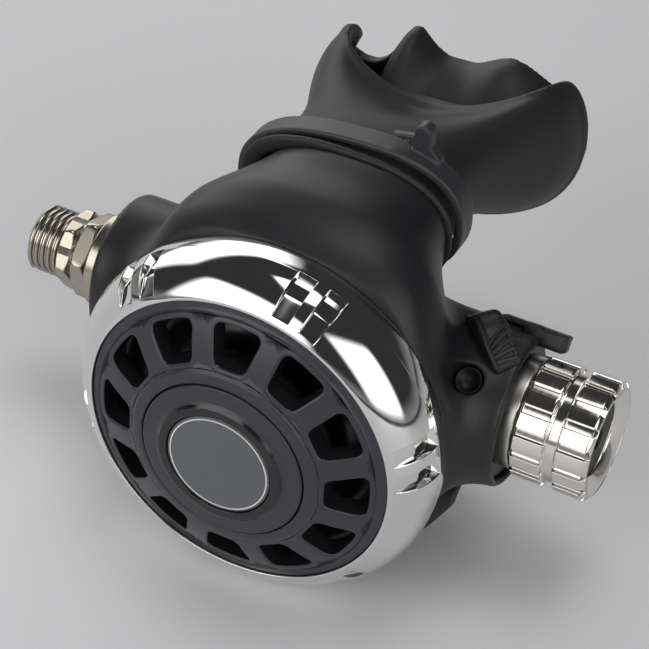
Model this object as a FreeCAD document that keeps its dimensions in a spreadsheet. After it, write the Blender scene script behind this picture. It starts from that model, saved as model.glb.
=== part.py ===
import FreeCAD, Part
import math
import os
import Sketcher

# Second stage of a diving regulator, in millimetres.
# X runs along the valve from the inlet to the adjusting knob, the purge cover
# faces -Y and the mouthpiece +Y. The origin lies on the floor under the valve.

numbers = {
    # gaps between pieces, and how far a cut runs past the surface it opens
    "gap": 0.3, "fit": 0.05, "overcut": 1.0,
    # front ring
    "ringRadius": 37.7, "ringMaxAt": -27.5, "ringLip": 31.5, "ringFace": -36.0,
    "ringEdge": 33.2, "ringEdgeAt": -35.6, "ringCurve": 10.0, "ringBore": 34.6,
    "ringBack": -21.6, "ringBackRadius": 37.0, "ringStep": -31.4,
    "notchCount": 6, "notchWide": 3.8, "notchEnd": -26.7, "notchFloor": 35.9,
    "notchStepFloor": 35.4, "notchFrontFloor": 32.7, "notchFirst": 7.0, "notchSecond": 17.0,
    # purge cover and what it clamps
    "washerThick": 0.6, "flangeThick": 1.6, "beadThick": 2.4, "clampRadius": 34.3,
    "coverRadius": 31.2, "coverEdge": 30.6, "coverEdgeAt": -35.9, "coverShoulder": -35.0,
    "coverCurve": 44.0, "coverInCurve": 40.0, "coverWall": 1.9, "hubBore": 17.1,
    "hubFront": -41.7, "hubWall": 1.5, "webFront": -33.0, "webBack": -31.8,
    "windowCount": 12, "hubBand": 3.5, "windowOut": 28.2, "spokeHalf": 2.6,
    "windowCorner": 1.2,
    # purge button
    "buttonEdgeAt": -41.8, "buttonCrest": -43.1, "crestRadius": 12.6, "dishRadius": 10.9,
    "dishFloor": -42.2, "buttonBack": -40.2, "skirtWall": 1.4, "skirtEnd": -37.4,
    "postRadius": 7.0, "postCore": 4.0, "postEnd": -27.9, "clipThick": 0.6, "clipRadius": 9.0,
    "clipSeat": 6.2,
    "badgeRadius": 10.6, "badgeThick": 0.5, "badgeCrown": 1.0, "badgeCurve": 90.0,
    "purgeCoil": 9.4, "purgeWire": 0.45, "purgeTurns": 4.5,
    # diaphragm
    "skinThick": 0.5, "plateRadius": 15.0, "plateThick": 0.8, "skinFront": -27.6,
    "rollStart": 16.0, "rollRadius": 23.0, "rollDepth": 2.0, "cavityRadius": 31.3,
    # case
    "drumShoulder": 36.8, "drumShoulderEnd": -18.8, "drumMid": 34.2, "drumMidAt": -11.5,
    "drumRear": 27.8, "drumRearAt": -3.2, "drumLast": 16.0, "drumLastAt": 3.0,
    "drumBack": 4.2, "caseWall": 2.6, "drumCurve": 30.0,
    "bossRadius": 15.5, "bossInletEnd": -48.4, "bossKnobEnd": 43.0,
    # corners of the drum's cavity, as shares of its wall
    "kneeFront": 1.5, "midIn": 2.0, "midBehind": 0.8, "rearIn": 1.7, "rearFront": 0.3,
    "lastIn": 1.5,
    "tubeRise": 13.4, "tubeRootRise": 9.0, "tubeRootAt": -17.0, "tubeRootWide": 25.0,
    "tubeRootHigh": 14.6, "shoulderWide": 2.4, "shoulderHigh": 2.2, "tubeEnd": 4.6,
    "spigotWide": 19.0, "spigotHigh": 10.2, "spigotEnd": 15.0, "tubeWall": 1.8,
    "sideRound": 0.72, "tubeInWide": 19.5, "tubeInHigh": 10.5, "tubeInRise": 7.0,
    "portAt": -9.6, "portRadius": 8.0, "portWall": 1.4, "portSeat": -27.5,
    "portPlate": 1.8, "portTop": -24.2, "portSkirt": -28.9, "ventRadius": 1.5,
    "ventCircle": 4.8, "ventCount": 6, "stemRadius": 1.2,
    # exhaust
    "flapRadius": 7.6, "flapThick": 0.7, "flapStemTop": -22.4, "flapBulb": 1.9,
    "bulbHigh": 1.0,
    "teeMidDepth": 17.0, "teeMidHigh": 9.6, "teeMidY": -3.5, "teeMidZ": -28.7,
    "teeEndDepth": 12.5, "teeEndHigh": 7.2, "teeEndY": 2.5, "teeEndZ": -23.6,
    "teeHalf": 35.0, "teeWall": 1.8, "teeRound": 0.6,
    # valve barrel and inlet
    "barrelRadius": 8.0, "barrelBore": 6.2, "barrelKnobEnd": 42.0,
    "threadRadius": 7.144, "threadRoot": 6.45, "threadPitch": 1.411, "threadEnd": -65.1,
    "threadTurns": 4, "threadFlat": 0.35, "threadFlank": 0.25, "inletBore": 3.2,
    "hexFlats": 16.2, "hexStart": -58.9, "hexEnd": -55.0, "neckRadius": 7.4, "shankRadius": 5.9,
    "nutStart": -54.2, "nutEnd": -50.2, "nutFlats": 18.4, "washerStart": -49.9,
    "washerRadius": 10.3, "sealHalf": 0.6, "sealFlat": 0.5, "sealAt": -44.0,
    "grooveHalf": 0.9, "shankEnd": -32.0,
    "seatTip": -24.0, "seatTipRadius": 2.6, "seatBore": 1.9, "seatSealAt": -29.0,
    "seatConeStart": -27.0, "seatBack": -31.7,
    # poppet and lever
    "discThick": 1.4, "discRadius": 3.6, "cupRadius": 5.0, "cupLength": 5.0,
    "poppetBody": 3.0, "poppetShoulder": 12.2, "shoulderThick": 1.6, "shoulderRadius": 5.7,
    "tailRadius": 2.3, "tailEnd": 26.0, "slotStart": 7.5, "slotEnd": 15.5, "slotHalf": 5.4,
    "slotDepth": -1.0, "pivotAcross": 13.0, "pivotFront": -8.95, "pivotRadius": 0.8,
    "pivotHalf": 4.6, "leverThick": 0.9, "leverHalf": 2.2, "leverKnee": 0.4,
    "leverTip": -4.0, "footIn": 3.3, "footOut": 4.5, "footTip": -2.0, "footKnee": -5.8,
    "footThick": 1.0,
    "airHole": 3.2, "airHoleAt": -6.0,
    "springCoil": 4.1, "springWire": 0.45, "springTurns": 5.5,
    "padStart": 22.0, "padEnd": 30.0, "padDepth": 28.0, "padRadius": 5.9,
    "screwHead": 31.6, "screwStem": 3.2, "screwEnd": 54.2,
    "packStart": 37.0, "packFlange": 44.6, "packRadius": 10.3, "packSealAt": 35.3,
    "packEdge": 0.8,
    # knob
    "knobStart": 45.1, "bandOneEnd": 51.6, "bandTwoStart": 54.0, "bandTwoEnd": 59.8,
    "knobEnd": 60.7, "knobRadius": 12.13, "toothDepth": 1.3, "knobWaist": 10.9,
    "knobRim": 11.2, "coneRadius": 10.4, "knobBore": 7.0, "screwHole": 2.0, "coneEnd": 57.9,
    "knobFloor": 54.6, "toothCount": 16, "toothGap": 1.7, "knobHollow": 9.2,
    "knobHollowEnd": 47.6, "knobEdge": 0.5, "capRadius": 5.6, "capEnd": 56.2,
    "capReach": 50.0,
    # lever beside the knob and its vane
    "sleeveWall": 1.45, "sleeveStart": 16.0, "collarStart": 38.6, "collarEnd": 41.7,
    "recessWall": 1.2, "recessStart": 38.3,
    "armAngle": 61.0, "armHalf": 2.6, "barLift": 0.4, "barThick": 2.2, "barStart": 35.6,
    "barEnd": 49.6, "tipIn": 12.9, "tipThick": 2.0, "leverTravel": 38.0, "slotSpare": 14.0,
    "vaneStart": 4.0, "vaneEnd": 20.0, "flapReach": 16.6, "vaneOut": 14.8, "vaneLift": 0.4,
    "vaneThick": 1.2, "vaneAngle": 145.0,
    "stopStart": 30.5, "stopEnd": 41.5, "stopHalf": 3.1, "stopHigh": 2.1, "stopAngle": 97.0,
    "stopRibs": 4, "ribHigh": 0.5, "ribRoot": 1.0, "ribWide": 0.8, "ribHalf": 2.5,
    "ribPitch": 1.4,
    "pinRadius": 2.7, "pinAcross": 35.8, "pinAngle": 131.0, "pinHigh": 0.8, "pinDeep": 4.3,
    # mouthpiece
    # walls round the spigot, across and in height
    "skinWide": 2.3, "skinHigh": 2.0, "lipOverWide": 1.3, "lipOverHigh": 1.1, "lipEnd": 6.3,
    "bandStart": 7.2, "bandEnd": 12.8, "bandOverWide": 2.3, "bandOverHigh": 1.8,
    "neckAt": 17.0, "neckInWide": 1.1, "neckInHigh": 0.6, "neckDrop": 0.3,
    "bellAt": 30.0, "bellWide": 21.8, "bellHigh": 12.2, "bellDrop": 2.0,
    "flareAt": 43.0, "flareWide": 28.6, "flareHigh": 12.3, "flareDrop": 4.5,
    "rimAt": 59.0, "rimWide": 31.0, "rimHigh": 13.6, "rimDrop": 4.3, "rimDip": 46.0,
    "rimTip": 13.2, "rimCurve": 43.0,
    "dipStart": 20.0, "dipStartRise": 18.6, "dipStartWide": 5.5, "dipStartHigh": 5.0,
    "dipEnd": 62.0, "dipEndRise": 22.1, "dipEndWide": 26.5, "dipEndHigh": 24.5, "dipRound": 0.8,
    "airStepWide": 2.4, "airStepHigh": 2.2, "airEndWide": 14.5, "airEndHigh": 5.2,
    "airEndDrop": 10.9, "airEndAt": 54.0, "dishAt": 44.5, "dishWide": 22.0, "dishHigh": 8.4,
    "dishOutWide": 28.8, "dishOutHigh": 11.4, "dishDrop": 4.3,
    "tabIn": 11.0, "tabOut": 22.5, "tabStart": 43.5, "tabEnd": 66.0, "tabDrop": 14.9,
    "tabThick": 3.0, "nubStart": 57.0, "nubWall": 2.6, "nubDrop": 18.9, "nubTopDrop": 7.4,
    "humpIn": 8.6, "humpEnd": 61.0, "humpRise": 4.1,
    "bridgeFront": 43.5, "bridgeDrop": 3.9, "bridgeKnee": 50.0, "bridgeCrest": 58.5,
    "bridgeRise": 0.1, "bridgeBack": 61.0, "bridgeThick": 2.6,
    "buckleAcross": 11.0, "buckleHalf": 2.2, "buckleHigh": 5.9, "buckleSink": 1.7,
    "buckleStart": 9.4, "buckleEnd": 13.6,
}


class Size:
    # a number together with the sheet expression that gives it
    def __init__(self, value, text):
        self.value = float(value)
        self.text = text

    def join(self, other, sign, value):
        return Size(value, "(%s %s %s)" % (self.text, sign, other.text))

    def __add__(self, other):
        other = sized(other)
        return self.join(other, "+", self.value + other.value)

    def __sub__(self, other):
        other = sized(other)
        return self.join(other, "-", self.value - other.value)

    def __mul__(self, other):
        other = sized(other)
        return self.join(other, "*", self.value * other.value)

    def __truediv__(self, other):
        other = sized(other)
        return self.join(other, "/", self.value / other.value)

    def __neg__(self):
        return Size(-self.value, "(0 - %s)" % self.text)

    __radd__ = __add__

    def __rmul__(self, other):
        return self * other

    def __rsub__(self, other):
        return sized(other) - self

    def __rtruediv__(self, other):
        return sized(other) / self


def sized(number):
    if isinstance(number, Size):
        return number
    return Size(number, repr(number))


def cosine(angle):
    return Size(math.cos(math.radians(angle.value)), "cos(%s * 1 deg)" % angle.text)


def sine(angle):
    return Size(math.sin(math.radians(angle.value)), "sin(%s * 1 deg)" % angle.text)


def tangent(angle):
    return Size(math.tan(math.radians(angle.value)), "tan(%s * 1 deg)" % angle.text)


doc = FreeCAD.newDocument("SecondStage")
sheet = doc.addObject("Spreadsheet::Sheet", "sizes")


class Sizes:
    pass


s = Sizes()
for row, (key, number) in enumerate(numbers.items(), start=1):
    sheet.set("A%d" % row, key)
    sheet.set("B%d" % row, str(number))
    sheet.setAlias("B%d" % row, key)
    setattr(s, key, Size(number, "sizes." + key))
doc.recompute()

parts = []


def piece(name):
    body = doc.addObject("PartDesign::Body", name)
    body.Label = name
    body.setExpression("Placement.Base.z", s.ringRadius.text)
    parts.append(body)
    return body


def numbered(body, stem):
    return "%s_%s_%d" % (body.Name, stem, len(body.Group))


def sketch_on(body, role, offset=None, turn=None):
    # turn is an axis of the plane and the angle that the sketch is turned about it
    sketch = body.newObject("Sketcher::SketchObject", numbered(body, "outline"))
    plane = [item for item in body.Origin.OriginFeatures if item.Role == role][0]
    sketch.AttachmentSupport = (plane, [""])
    sketch.MapMode = "FlatFace"
    lift = {"y": None, "z": offset}
    if turn is not None:
        axis, angle = turn
        direction = {"x": (1, 0, 0), "y": (0, 1, 0), "z": (0, 0, 1)}[axis]
        sketch.AttachmentOffset = FreeCAD.Placement(
            FreeCAD.Vector(0, 0, 0), FreeCAD.Rotation(FreeCAD.Vector(*direction), angle.value))
        sketch.setExpression("AttachmentOffset.Rotation.Angle", angle.text)
        if axis == "x" and offset is not None:
            lift = {"y": -offset * sine(angle), "z": offset * cosine(angle)}
    for key, distance in lift.items():
        if distance is not None:
            sketch.setExpression("AttachmentOffset.Base." + key, distance.text)
    return sketch


def arc_between(start, end, radius):
    # shorter arc from start to end, centre to the left when the radius is positive
    (ax, ay), (bx, by) = start, end
    length = math.hypot(bx - ax, by - ay)
    lift = math.sqrt(max(radius * radius - length * length / 4, 0))
    side = 1 if radius > 0 else -1
    cx = (ax + bx) / 2 - side * lift * (by - ay) / length
    cy = (ay + by) / 2 + side * lift * (bx - ax) / length
    circle = Part.Circle(FreeCAD.Vector(cx, cy, 0), FreeCAD.Vector(0, 0, 1), abs(radius))
    first = math.atan2(ay - cy, ax - cx)
    last = math.atan2(by - cy, bx - cx)
    if side < 0:
        first, last = last, first
    return Part.ArcOfCircle(circle, first, last)


def bind(sketch, kind, *items):
    index = sketch.addConstraint(Sketcher.Constraint(kind, *items[:-1], items[-1].value))
    sketch.setExpression("Constraints[%d]" % index, items[-1].text)


def draw_loop(sketch, points):
    # a point is (across, up), or (across, up, radius) where an arc arrives at it
    points = [tuple(sized(number) for number in point) for point in points]
    ends = []
    for index, point in enumerate(points):
        before = points[index - 1]
        start = (before[0].value, before[1].value)
        end = (point[0].value, point[1].value)
        if len(point) == 3:
            edge = sketch.addGeometry(arc_between(start, end, point[2].value), False)
            ends.append((edge, 1, 2) if point[2].value > 0 else (edge, 2, 1))
            radius = point[2] if point[2].value > 0 else -point[2]
            bind(sketch, "Radius", edge, radius)
        else:
            line = Part.LineSegment(FreeCAD.Vector(*start, 0), FreeCAD.Vector(*end, 0))
            edge = sketch.addGeometry(line, False)
            ends.append((edge, 1, 2))
    for index, (edge, _, last) in enumerate(ends):
        follower, first, _ = ends[(index + 1) % len(ends)]
        sketch.addConstraint(Sketcher.Constraint("Coincident", edge, last, follower, first))
        bind(sketch, "DistanceX", -1, 1, edge, last, points[index][0])
        bind(sketch, "DistanceY", -1, 1, edge, last, points[index][1])


def draw_circle(sketch, across, up, radius):
    across, up = sized(across), sized(up)
    centre = FreeCAD.Vector(across.value, up.value, 0)
    circle = Part.Circle(centre, FreeCAD.Vector(0, 0, 1), radius.value)
    edge = sketch.addGeometry(circle, False)
    bind(sketch, "Radius", edge, radius)
    bind(sketch, "DistanceX", -1, 1, edge, 3, across)
    bind(sketch, "DistanceY", -1, 1, edge, 3, up)


def oval(wide, high, height, share, middle=0):
    # closed oval of four tangent arcs, as corner points with the radius of each arc
    side = high * share
    across = wide - side
    crown = (across * across + high * high - side * side) / (2 * (high - side))
    reach = across + side * across / (crown - side)
    rise = side * (crown - high) / (crown - side)
    return [(middle + reach, height - rise, crown), (middle + reach, height + rise, side),
            (middle - reach, height + rise, crown), (middle - reach, height - rise, side)]


def spin(body, axis, points, cut=False, role="XY_Plane"):
    sketch = sketch_on(body, role)
    draw_loop(sketch, points)
    kind = "PartDesign::Groove" if cut else "PartDesign::Revolution"
    turn = body.newObject(kind, numbered(body, "turn"))
    turn.Profile = sketch
    turn.ReferenceAxis = (sketch, [axis])
    turn.Angle = 360
    return turn


def extrude(body, sketch, length, cut=False, middle=False, back=False):
    kind = "PartDesign::Pocket" if cut else "PartDesign::Pad"
    slab = body.newObject(kind, numbered(body, "slab"))
    slab.Profile = sketch
    slab.setExpression("Length", sized(length).text)
    slab.Midplane = middle
    slab.Reversed = back
    return slab


def repeat(body, feature, sketch, axis, count):
    ring = body.newObject("PartDesign::PolarPattern", numbered(body, "ring"))
    ring.Originals = [feature]
    ring.Axis = (sketch, [axis])
    ring.Angle = 360
    ring.setExpression("Occurrences", count.text)
    body.Tip = ring
    return ring


def loft(body, sections, cut=False, role="XZ_Plane"):
    # sections are (distance along the plane's normal, corner points)
    sketches = []
    for offset, points in sections:
        sketch = sketch_on(body, role, offset)
        draw_loop(sketch, points)
        sketches.append(sketch)
    kind = "PartDesign::SubtractiveLoft" if cut else "PartDesign::AdditiveLoft"
    skin = body.newObject(kind, numbered(body, "loft"))
    skin.Profile = sketches[0]
    skin.Sections = sketches[1:]
    return skin


def turned(name, axis, points):
    body = piece(name)
    spin(body, axis, points)
    return body


def tube_profile(start, end, inner, outer):
    return [(start, inner), (end, inner), (end, outer), (start, outer)]


def disc_profile(front, back, inner, outer):
    return [(inner, front), (outer, front), (outer, back), (inner, back)]


def seal_ring(name, at, inner, section):
    # rubber ring round the valve axis, with a slightly flattened round section
    half = section
    middle = inner + half
    bevel = half * s.sealFlat
    body = turned(name, "H_Axis", [
        (at - half, middle - bevel), (at - bevel, inner), (at + bevel, inner),
        (at + half, middle - bevel), (at + half, middle + bevel), (at + bevel, middle + half),
        (at - bevel, middle + half), (at - half, middle + bevel)])
    return body


def coil(name, start, length, radius, wire, turns, along_y):
    # round wire wound into an open compression spring
    helix = doc.addObject("Part::Helix", name + "_path")
    helix.setExpression("Radius", radius.text)
    helix.setExpression("Height", (length - 2 * wire).text)
    helix.setExpression("Pitch", ((length - 2 * wire) / turns).text)
    section = doc.addObject("Part::Circle", name + "_wire")
    section.setExpression("Radius", wire.text)
    section.setExpression("Placement.Base.x", radius.text)
    section.Placement.Rotation = FreeCAD.Rotation(FreeCAD.Vector(1, 0, 0), 90)
    doc.recompute()
    sweep = doc.addObject("Part::Sweep", name)
    sweep.Sections = [section]
    sweep.Spine = (helix, ["Edge%d" % (i + 1) for i in range(len(helix.Shape.Edges))])
    sweep.Solid = True
    sweep.Frenet = True
    sweep.Label = name
    if along_y:
        sweep.Placement.Rotation = FreeCAD.Rotation(FreeCAD.Vector(1, 0, 0), -90)
        sweep.setExpression("Placement.Base.y", (start + wire).text)
    else:
        sweep.Placement.Rotation = FreeCAD.Rotation(FreeCAD.Vector(0, 1, 0), 90)
        sweep.setExpression("Placement.Base.x", (start + wire).text)
    sweep.setExpression("Placement.Base.z", s.ringRadius.text)
    parts.append(sweep)
    return sweep


# levels of the stack that the front ring clamps
flangeFront = s.ringStep + s.washerThick
flangeBack = flangeFront + s.flangeThick
beadBack = flangeBack + s.beadThick
plateFront = s.skinFront + s.skinThick
plateBack = plateFront + s.plateThick

# sizes that follow the hub, the valve's tube and the boss round it
windowIn = s.hubBore + s.hubBand
sleeveRadius = s.barrelRadius + s.fit + s.sleeveWall
vaneIn = sleeveRadius + s.vaneLift
recessRadius = s.bossRadius - s.recessWall
collarRadius = recessRadius - s.gap
barIn = s.bossRadius + s.barLift
barOut = barIn + s.barThick
stopTop = s.bossRadius + s.stopHigh
pinRoot = s.bossRadius - s.pinDeep

# heights over the valve, and half widths and half heights of the ovals on the spigot
tubeHeight = s.bossRadius + s.tubeRise
rimHeight = tubeHeight - s.rimDrop
dishHeight = tubeHeight - s.dishDrop
tubeWide, tubeHigh = s.spigotWide + s.shoulderWide, s.spigotHigh + s.shoulderHigh
sleeveWide, sleeveHigh = s.spigotWide + s.skinWide, s.spigotHigh + s.skinHigh
bandWide, bandHigh = sleeveWide + s.bandOverWide, sleeveHigh + s.bandOverHigh


def front_ring():
    body = turned("front_ring", "V_Axis", [
        (s.ringLip, s.ringFace), (s.ringEdge, s.ringEdgeAt),
        (s.ringRadius, s.ringMaxAt, s.ringCurve), (s.ringBackRadius, s.ringBack),
        (s.ringBore, s.ringBack), (s.ringBore, s.ringStep), (s.ringLip, s.ringStep)])
    for angle in (s.notchFirst, s.notchSecond):
        sketch = sketch_on(body, "XY_Plane", turn=("y", -angle))
        draw_loop(sketch, [
            (s.notchFloor, s.notchEnd), (s.notchStepFloor, s.ringStep),
            (s.notchFrontFloor, s.ringFace), (s.notchFrontFloor, s.ringFace - s.overcut),
            (s.ringRadius + s.overcut, s.ringFace - s.overcut),
            (s.ringRadius + s.overcut, s.notchEnd)])
        notch = extrude(body, sketch, s.notchWide, cut=True, middle=True)
        repeat(body, notch, sketch, "V_Axis", s.notchCount)
        doc.recompute()


def friction_washer():
    turned("friction_washer", "V_Axis",
           disc_profile(s.ringStep, flangeFront, s.ringLip + s.gap, s.clampRadius))


def purge_cover():
    wallIn = s.coverRadius - s.coverWall
    hubOut = s.hubBore + s.hubWall
    body = turned("purge_cover", "V_Axis", [
        (s.clampRadius, flangeBack), (wallIn, flangeBack),
        (wallIn, s.coverShoulder + s.coverWall),
        (hubOut, s.hubFront + s.coverWall, -s.coverInCurve), (hubOut, s.webBack),
        (s.postRadius + s.gap, s.webBack), (s.postRadius + s.gap, s.webFront),
        (s.hubBore, s.webFront), (s.hubBore, s.hubFront),
        (s.coverEdge, s.coverEdgeAt, s.coverCurve), (s.coverRadius, s.coverShoulder),
        (s.coverRadius, flangeFront), (s.clampRadius, flangeFront)])
    doc.recompute()
    slope = tangent(180 / s.windowCount)
    inHalf = windowIn * slope - s.spokeHalf
    outHalf = s.windowOut * slope - s.spokeHalf
    corner = s.windowCorner
    inSide = inHalf + corner * slope
    outSide = outHalf - corner * slope
    sketch = sketch_on(body, "XZ_Plane", -flangeFront)
    draw_loop(sketch, [
        (windowIn + corner, -inSide, corner), (s.windowOut - corner, -outSide),
        (s.windowOut, corner - outHalf, corner), (s.windowOut, outHalf - corner),
        (s.windowOut - corner, outSide, corner), (windowIn + corner, inSide),
        (windowIn, inHalf - corner, corner), (windowIn, corner - inHalf)])
    window = extrude(body, sketch, -s.buttonCrest, cut=True, back=True)
    repeat(body, window, sketch, "N_Axis", s.windowCount)


def purge_button():
    rim = s.hubBore - s.gap
    turned("purge_button", "V_Axis", [
        (0, s.dishFloor), (s.dishRadius, s.dishFloor), (s.crestRadius, s.buttonCrest),
        (rim, s.buttonEdgeAt), (rim, s.skirtEnd), (rim - s.skirtWall, s.skirtEnd),
        (rim - s.skirtWall, s.buttonBack), (s.postRadius, s.buttonBack),
        (s.postRadius, s.webBack + s.gap), (s.clipSeat, s.webBack + s.gap),
        (s.clipSeat, s.webBack + s.gap + s.clipThick),
        (s.postRadius, s.webBack + s.gap + s.clipThick), (s.postRadius, s.postEnd),
        (s.postCore, s.postEnd), (s.postCore, s.buttonBack), (0, s.buttonBack)])


def purge_clip():
    front = s.webBack + s.gap
    turned("purge_clip", "V_Axis",
           disc_profile(front, front + s.clipThick, s.clipSeat, s.clipRadius))


def purge_badge():
    turned("purge_badge", "V_Axis", [
        (0, s.dishFloor), (0, s.dishFloor - s.badgeCrown),
        (s.badgeRadius, s.dishFloor - s.badgeThick, s.badgeCurve),
        (s.badgeRadius, s.dishFloor)])


def purge_spring():
    coil("purge_spring", s.buttonBack, s.webFront - s.buttonBack, s.purgeCoil, s.purgeWire,
         s.purgeTurns, along_y=True)


def diaphragm_membrane():
    rollBack = plateFront + s.rollDepth
    turned("diaphragm_membrane", "V_Axis", [
        (0, s.skinFront), (s.rollStart, s.skinFront), (s.rollRadius, rollBack - s.skinThick),
        (s.cavityRadius, s.skinFront), (s.cavityRadius, flangeBack),
        (s.clampRadius, flangeBack), (s.clampRadius, beadBack), (s.cavityRadius, beadBack),
        (s.cavityRadius, plateFront), (s.rollRadius, rollBack),
        (s.rollStart, plateFront), (0, plateFront)])


def diaphragm_plate():
    turned("diaphragm_plate", "V_Axis", [
        (0, plateFront), (s.plateRadius, plateFront), (s.plateRadius, plateBack),
        (0, plateBack)])


def case():
    body = piece("case")
    spin(body, "V_Axis", [
        (0, beadBack), (s.clampRadius, beadBack), (s.clampRadius, s.ringBack),
        (s.drumShoulder, s.ringBack), (s.drumShoulder, s.drumShoulderEnd),
        (s.drumMid, s.drumMidAt, s.drumCurve), (s.drumRear, s.drumRearAt, s.drumCurve),
        (s.drumLast, s.drumLastAt), (0, s.drumBack)])
    sketch = sketch_on(body, "YZ_Plane", s.bossInletEnd)
    draw_circle(sketch, 0, 0, s.bossRadius)
    extrude(body, sketch, s.bossKnobEnd - s.bossInletEnd)
    root_oval = oval(s.tubeRootWide, s.tubeRootHigh, s.bossRadius + s.tubeRootRise, s.sideRound)
    end_oval = oval(tubeWide, tubeHigh, tubeHeight, s.sideRound)
    loft(body, [(-s.tubeRootAt, root_oval), (-s.tubeEnd, end_oval)])
    sketch = sketch_on(body, "XZ_Plane", -s.tubeEnd)
    draw_loop(sketch, oval(s.spigotWide, s.spigotHigh, tubeHeight, s.sideRound))
    extrude(body, sketch, s.spigotEnd - s.tubeEnd, back=True)
    doc.recompute()
    wall = s.caseWall
    spin(body, "V_Axis", [
        (0, beadBack), (s.cavityRadius, beadBack),
        (s.cavityRadius, s.drumMidAt - wall * s.kneeFront),
        (s.drumMid - wall * s.midIn, s.drumMidAt + wall * s.midBehind),
        (s.drumRear - wall * s.rearIn, s.drumRearAt - wall * s.rearFront),
        (s.drumLast - wall * s.lastIn, s.drumLastAt - wall), (0, s.drumBack - wall)], cut=True)
    loft(body, [
        (-s.tubeRootAt, oval(s.tubeInWide, s.tubeInHigh, s.bossRadius + s.tubeInRise, s.sideRound)),
        (-s.spigotEnd, oval(s.spigotWide - s.tubeWall, s.spigotHigh - s.tubeWall,
                            tubeHeight, s.sideRound))], cut=True)
    sketch = sketch_on(body, "XY_Plane", s.portSkirt)
    draw_circle(sketch, 0, s.portAt, s.portRadius + s.portWall)
    extrude(body, sketch, s.portTop - s.portSkirt)
    sketch = sketch_on(body, "XY_Plane", s.portSeat)
    draw_circle(sketch, 0, s.portAt, s.portRadius)
    extrude(body, sketch, s.ringRadius, cut=True)
    sketch = sketch_on(body, "XY_Plane", s.portSeat + s.portPlate)
    draw_circle(sketch, 0, s.portAt, s.portRadius)
    extrude(body, sketch, s.portTop - s.portSeat, cut=True, back=True)
    sketch = sketch_on(body, "XY_Plane", s.portTop)
    draw_circle(sketch, 0, s.portAt, s.stemRadius + s.fit)
    extrude(body, sketch, s.ringRadius, cut=True)
    for index in range(int(s.ventCount.value)):
        angle = 360 / s.ventCount * index
        sketch = sketch_on(body, "XY_Plane", s.portTop)
        draw_circle(sketch, s.ventCircle * cosine(angle), s.portAt + s.ventCircle * sine(angle),
                    s.ventRadius)
        extrude(body, sketch, s.ringRadius, cut=True)
    sketch = sketch_on(body, "YZ_Plane", s.bossInletEnd)
    draw_circle(sketch, 0, 0, s.barrelRadius + s.fit)
    extrude(body, sketch, s.bossKnobEnd - s.bossInletEnd, cut=True, back=True)
    sketch = sketch_on(body, "YZ_Plane", s.sleeveStart)
    draw_circle(sketch, 0, 0, sleeveRadius + s.gap)
    extrude(body, sketch, s.bossKnobEnd, cut=True, back=True)
    sketch = sketch_on(body, "YZ_Plane", s.sleeveStart - s.gap)
    draw_circle(sketch, 0, 0, vaneIn + s.vaneThick + s.gap)
    extrude(body, sketch, s.vaneEnd - s.sleeveStart + 2 * s.gap, cut=True, back=True)
    sketch = sketch_on(body, "YZ_Plane", s.recessStart)
    draw_circle(sketch, 0, 0, recessRadius)
    extrude(body, sketch, s.bossKnobEnd, cut=True, back=True)
    # slot in the recess wall that the arm swings through
    sketch = sketch_on(body, "YZ_Plane", s.recessStart)
    draw_loop(sketch, swing_sector(recessRadius - s.overcut, s.bossRadius + 2 * s.overcut))
    extrude(body, sketch, s.bossKnobEnd, cut=True, back=True)
    # seat of the pin
    sketch = sketch_on(body, "XY_Plane", pinRoot, turn=("x", s.pinAngle - 90))
    draw_circle(sketch, s.pinAcross, 0, s.pinRadius + s.gap)
    extrude(body, sketch, s.bossRadius, cut=True, back=True)


def swing_sector(inner, outer):
    # four-sided sector, seen along the valve, that covers the swing of the arm
    low = s.armAngle - s.leverTravel - s.slotSpare
    high = s.armAngle + s.slotSpare
    return [(inner * cosine(low), inner * sine(low)), (outer * cosine(low), outer * sine(low)),
            (outer * cosine(high), outer * sine(high), outer),
            (inner * cosine(high), inner * sine(high))]


def exhaust_valve():
    seatTop = s.portSeat + s.portPlate + s.gap
    body = piece("exhaust_valve")
    spin(body, "V_Axis", [
        (0, s.flapStemTop), (s.stemRadius / 2, s.flapStemTop), (s.flapBulb, seatTop + s.bulbHigh),
        (s.flapBulb, seatTop), (s.stemRadius, seatTop), (s.stemRadius, s.portSeat),
        (s.flapRadius, s.portSeat), (s.flapRadius, s.portSeat - s.flapThick),
        (0, s.portSeat - s.flapThick)], role="XZ_Plane")
    body.setExpression("Placement.Base.y", s.portAt.text)


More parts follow.
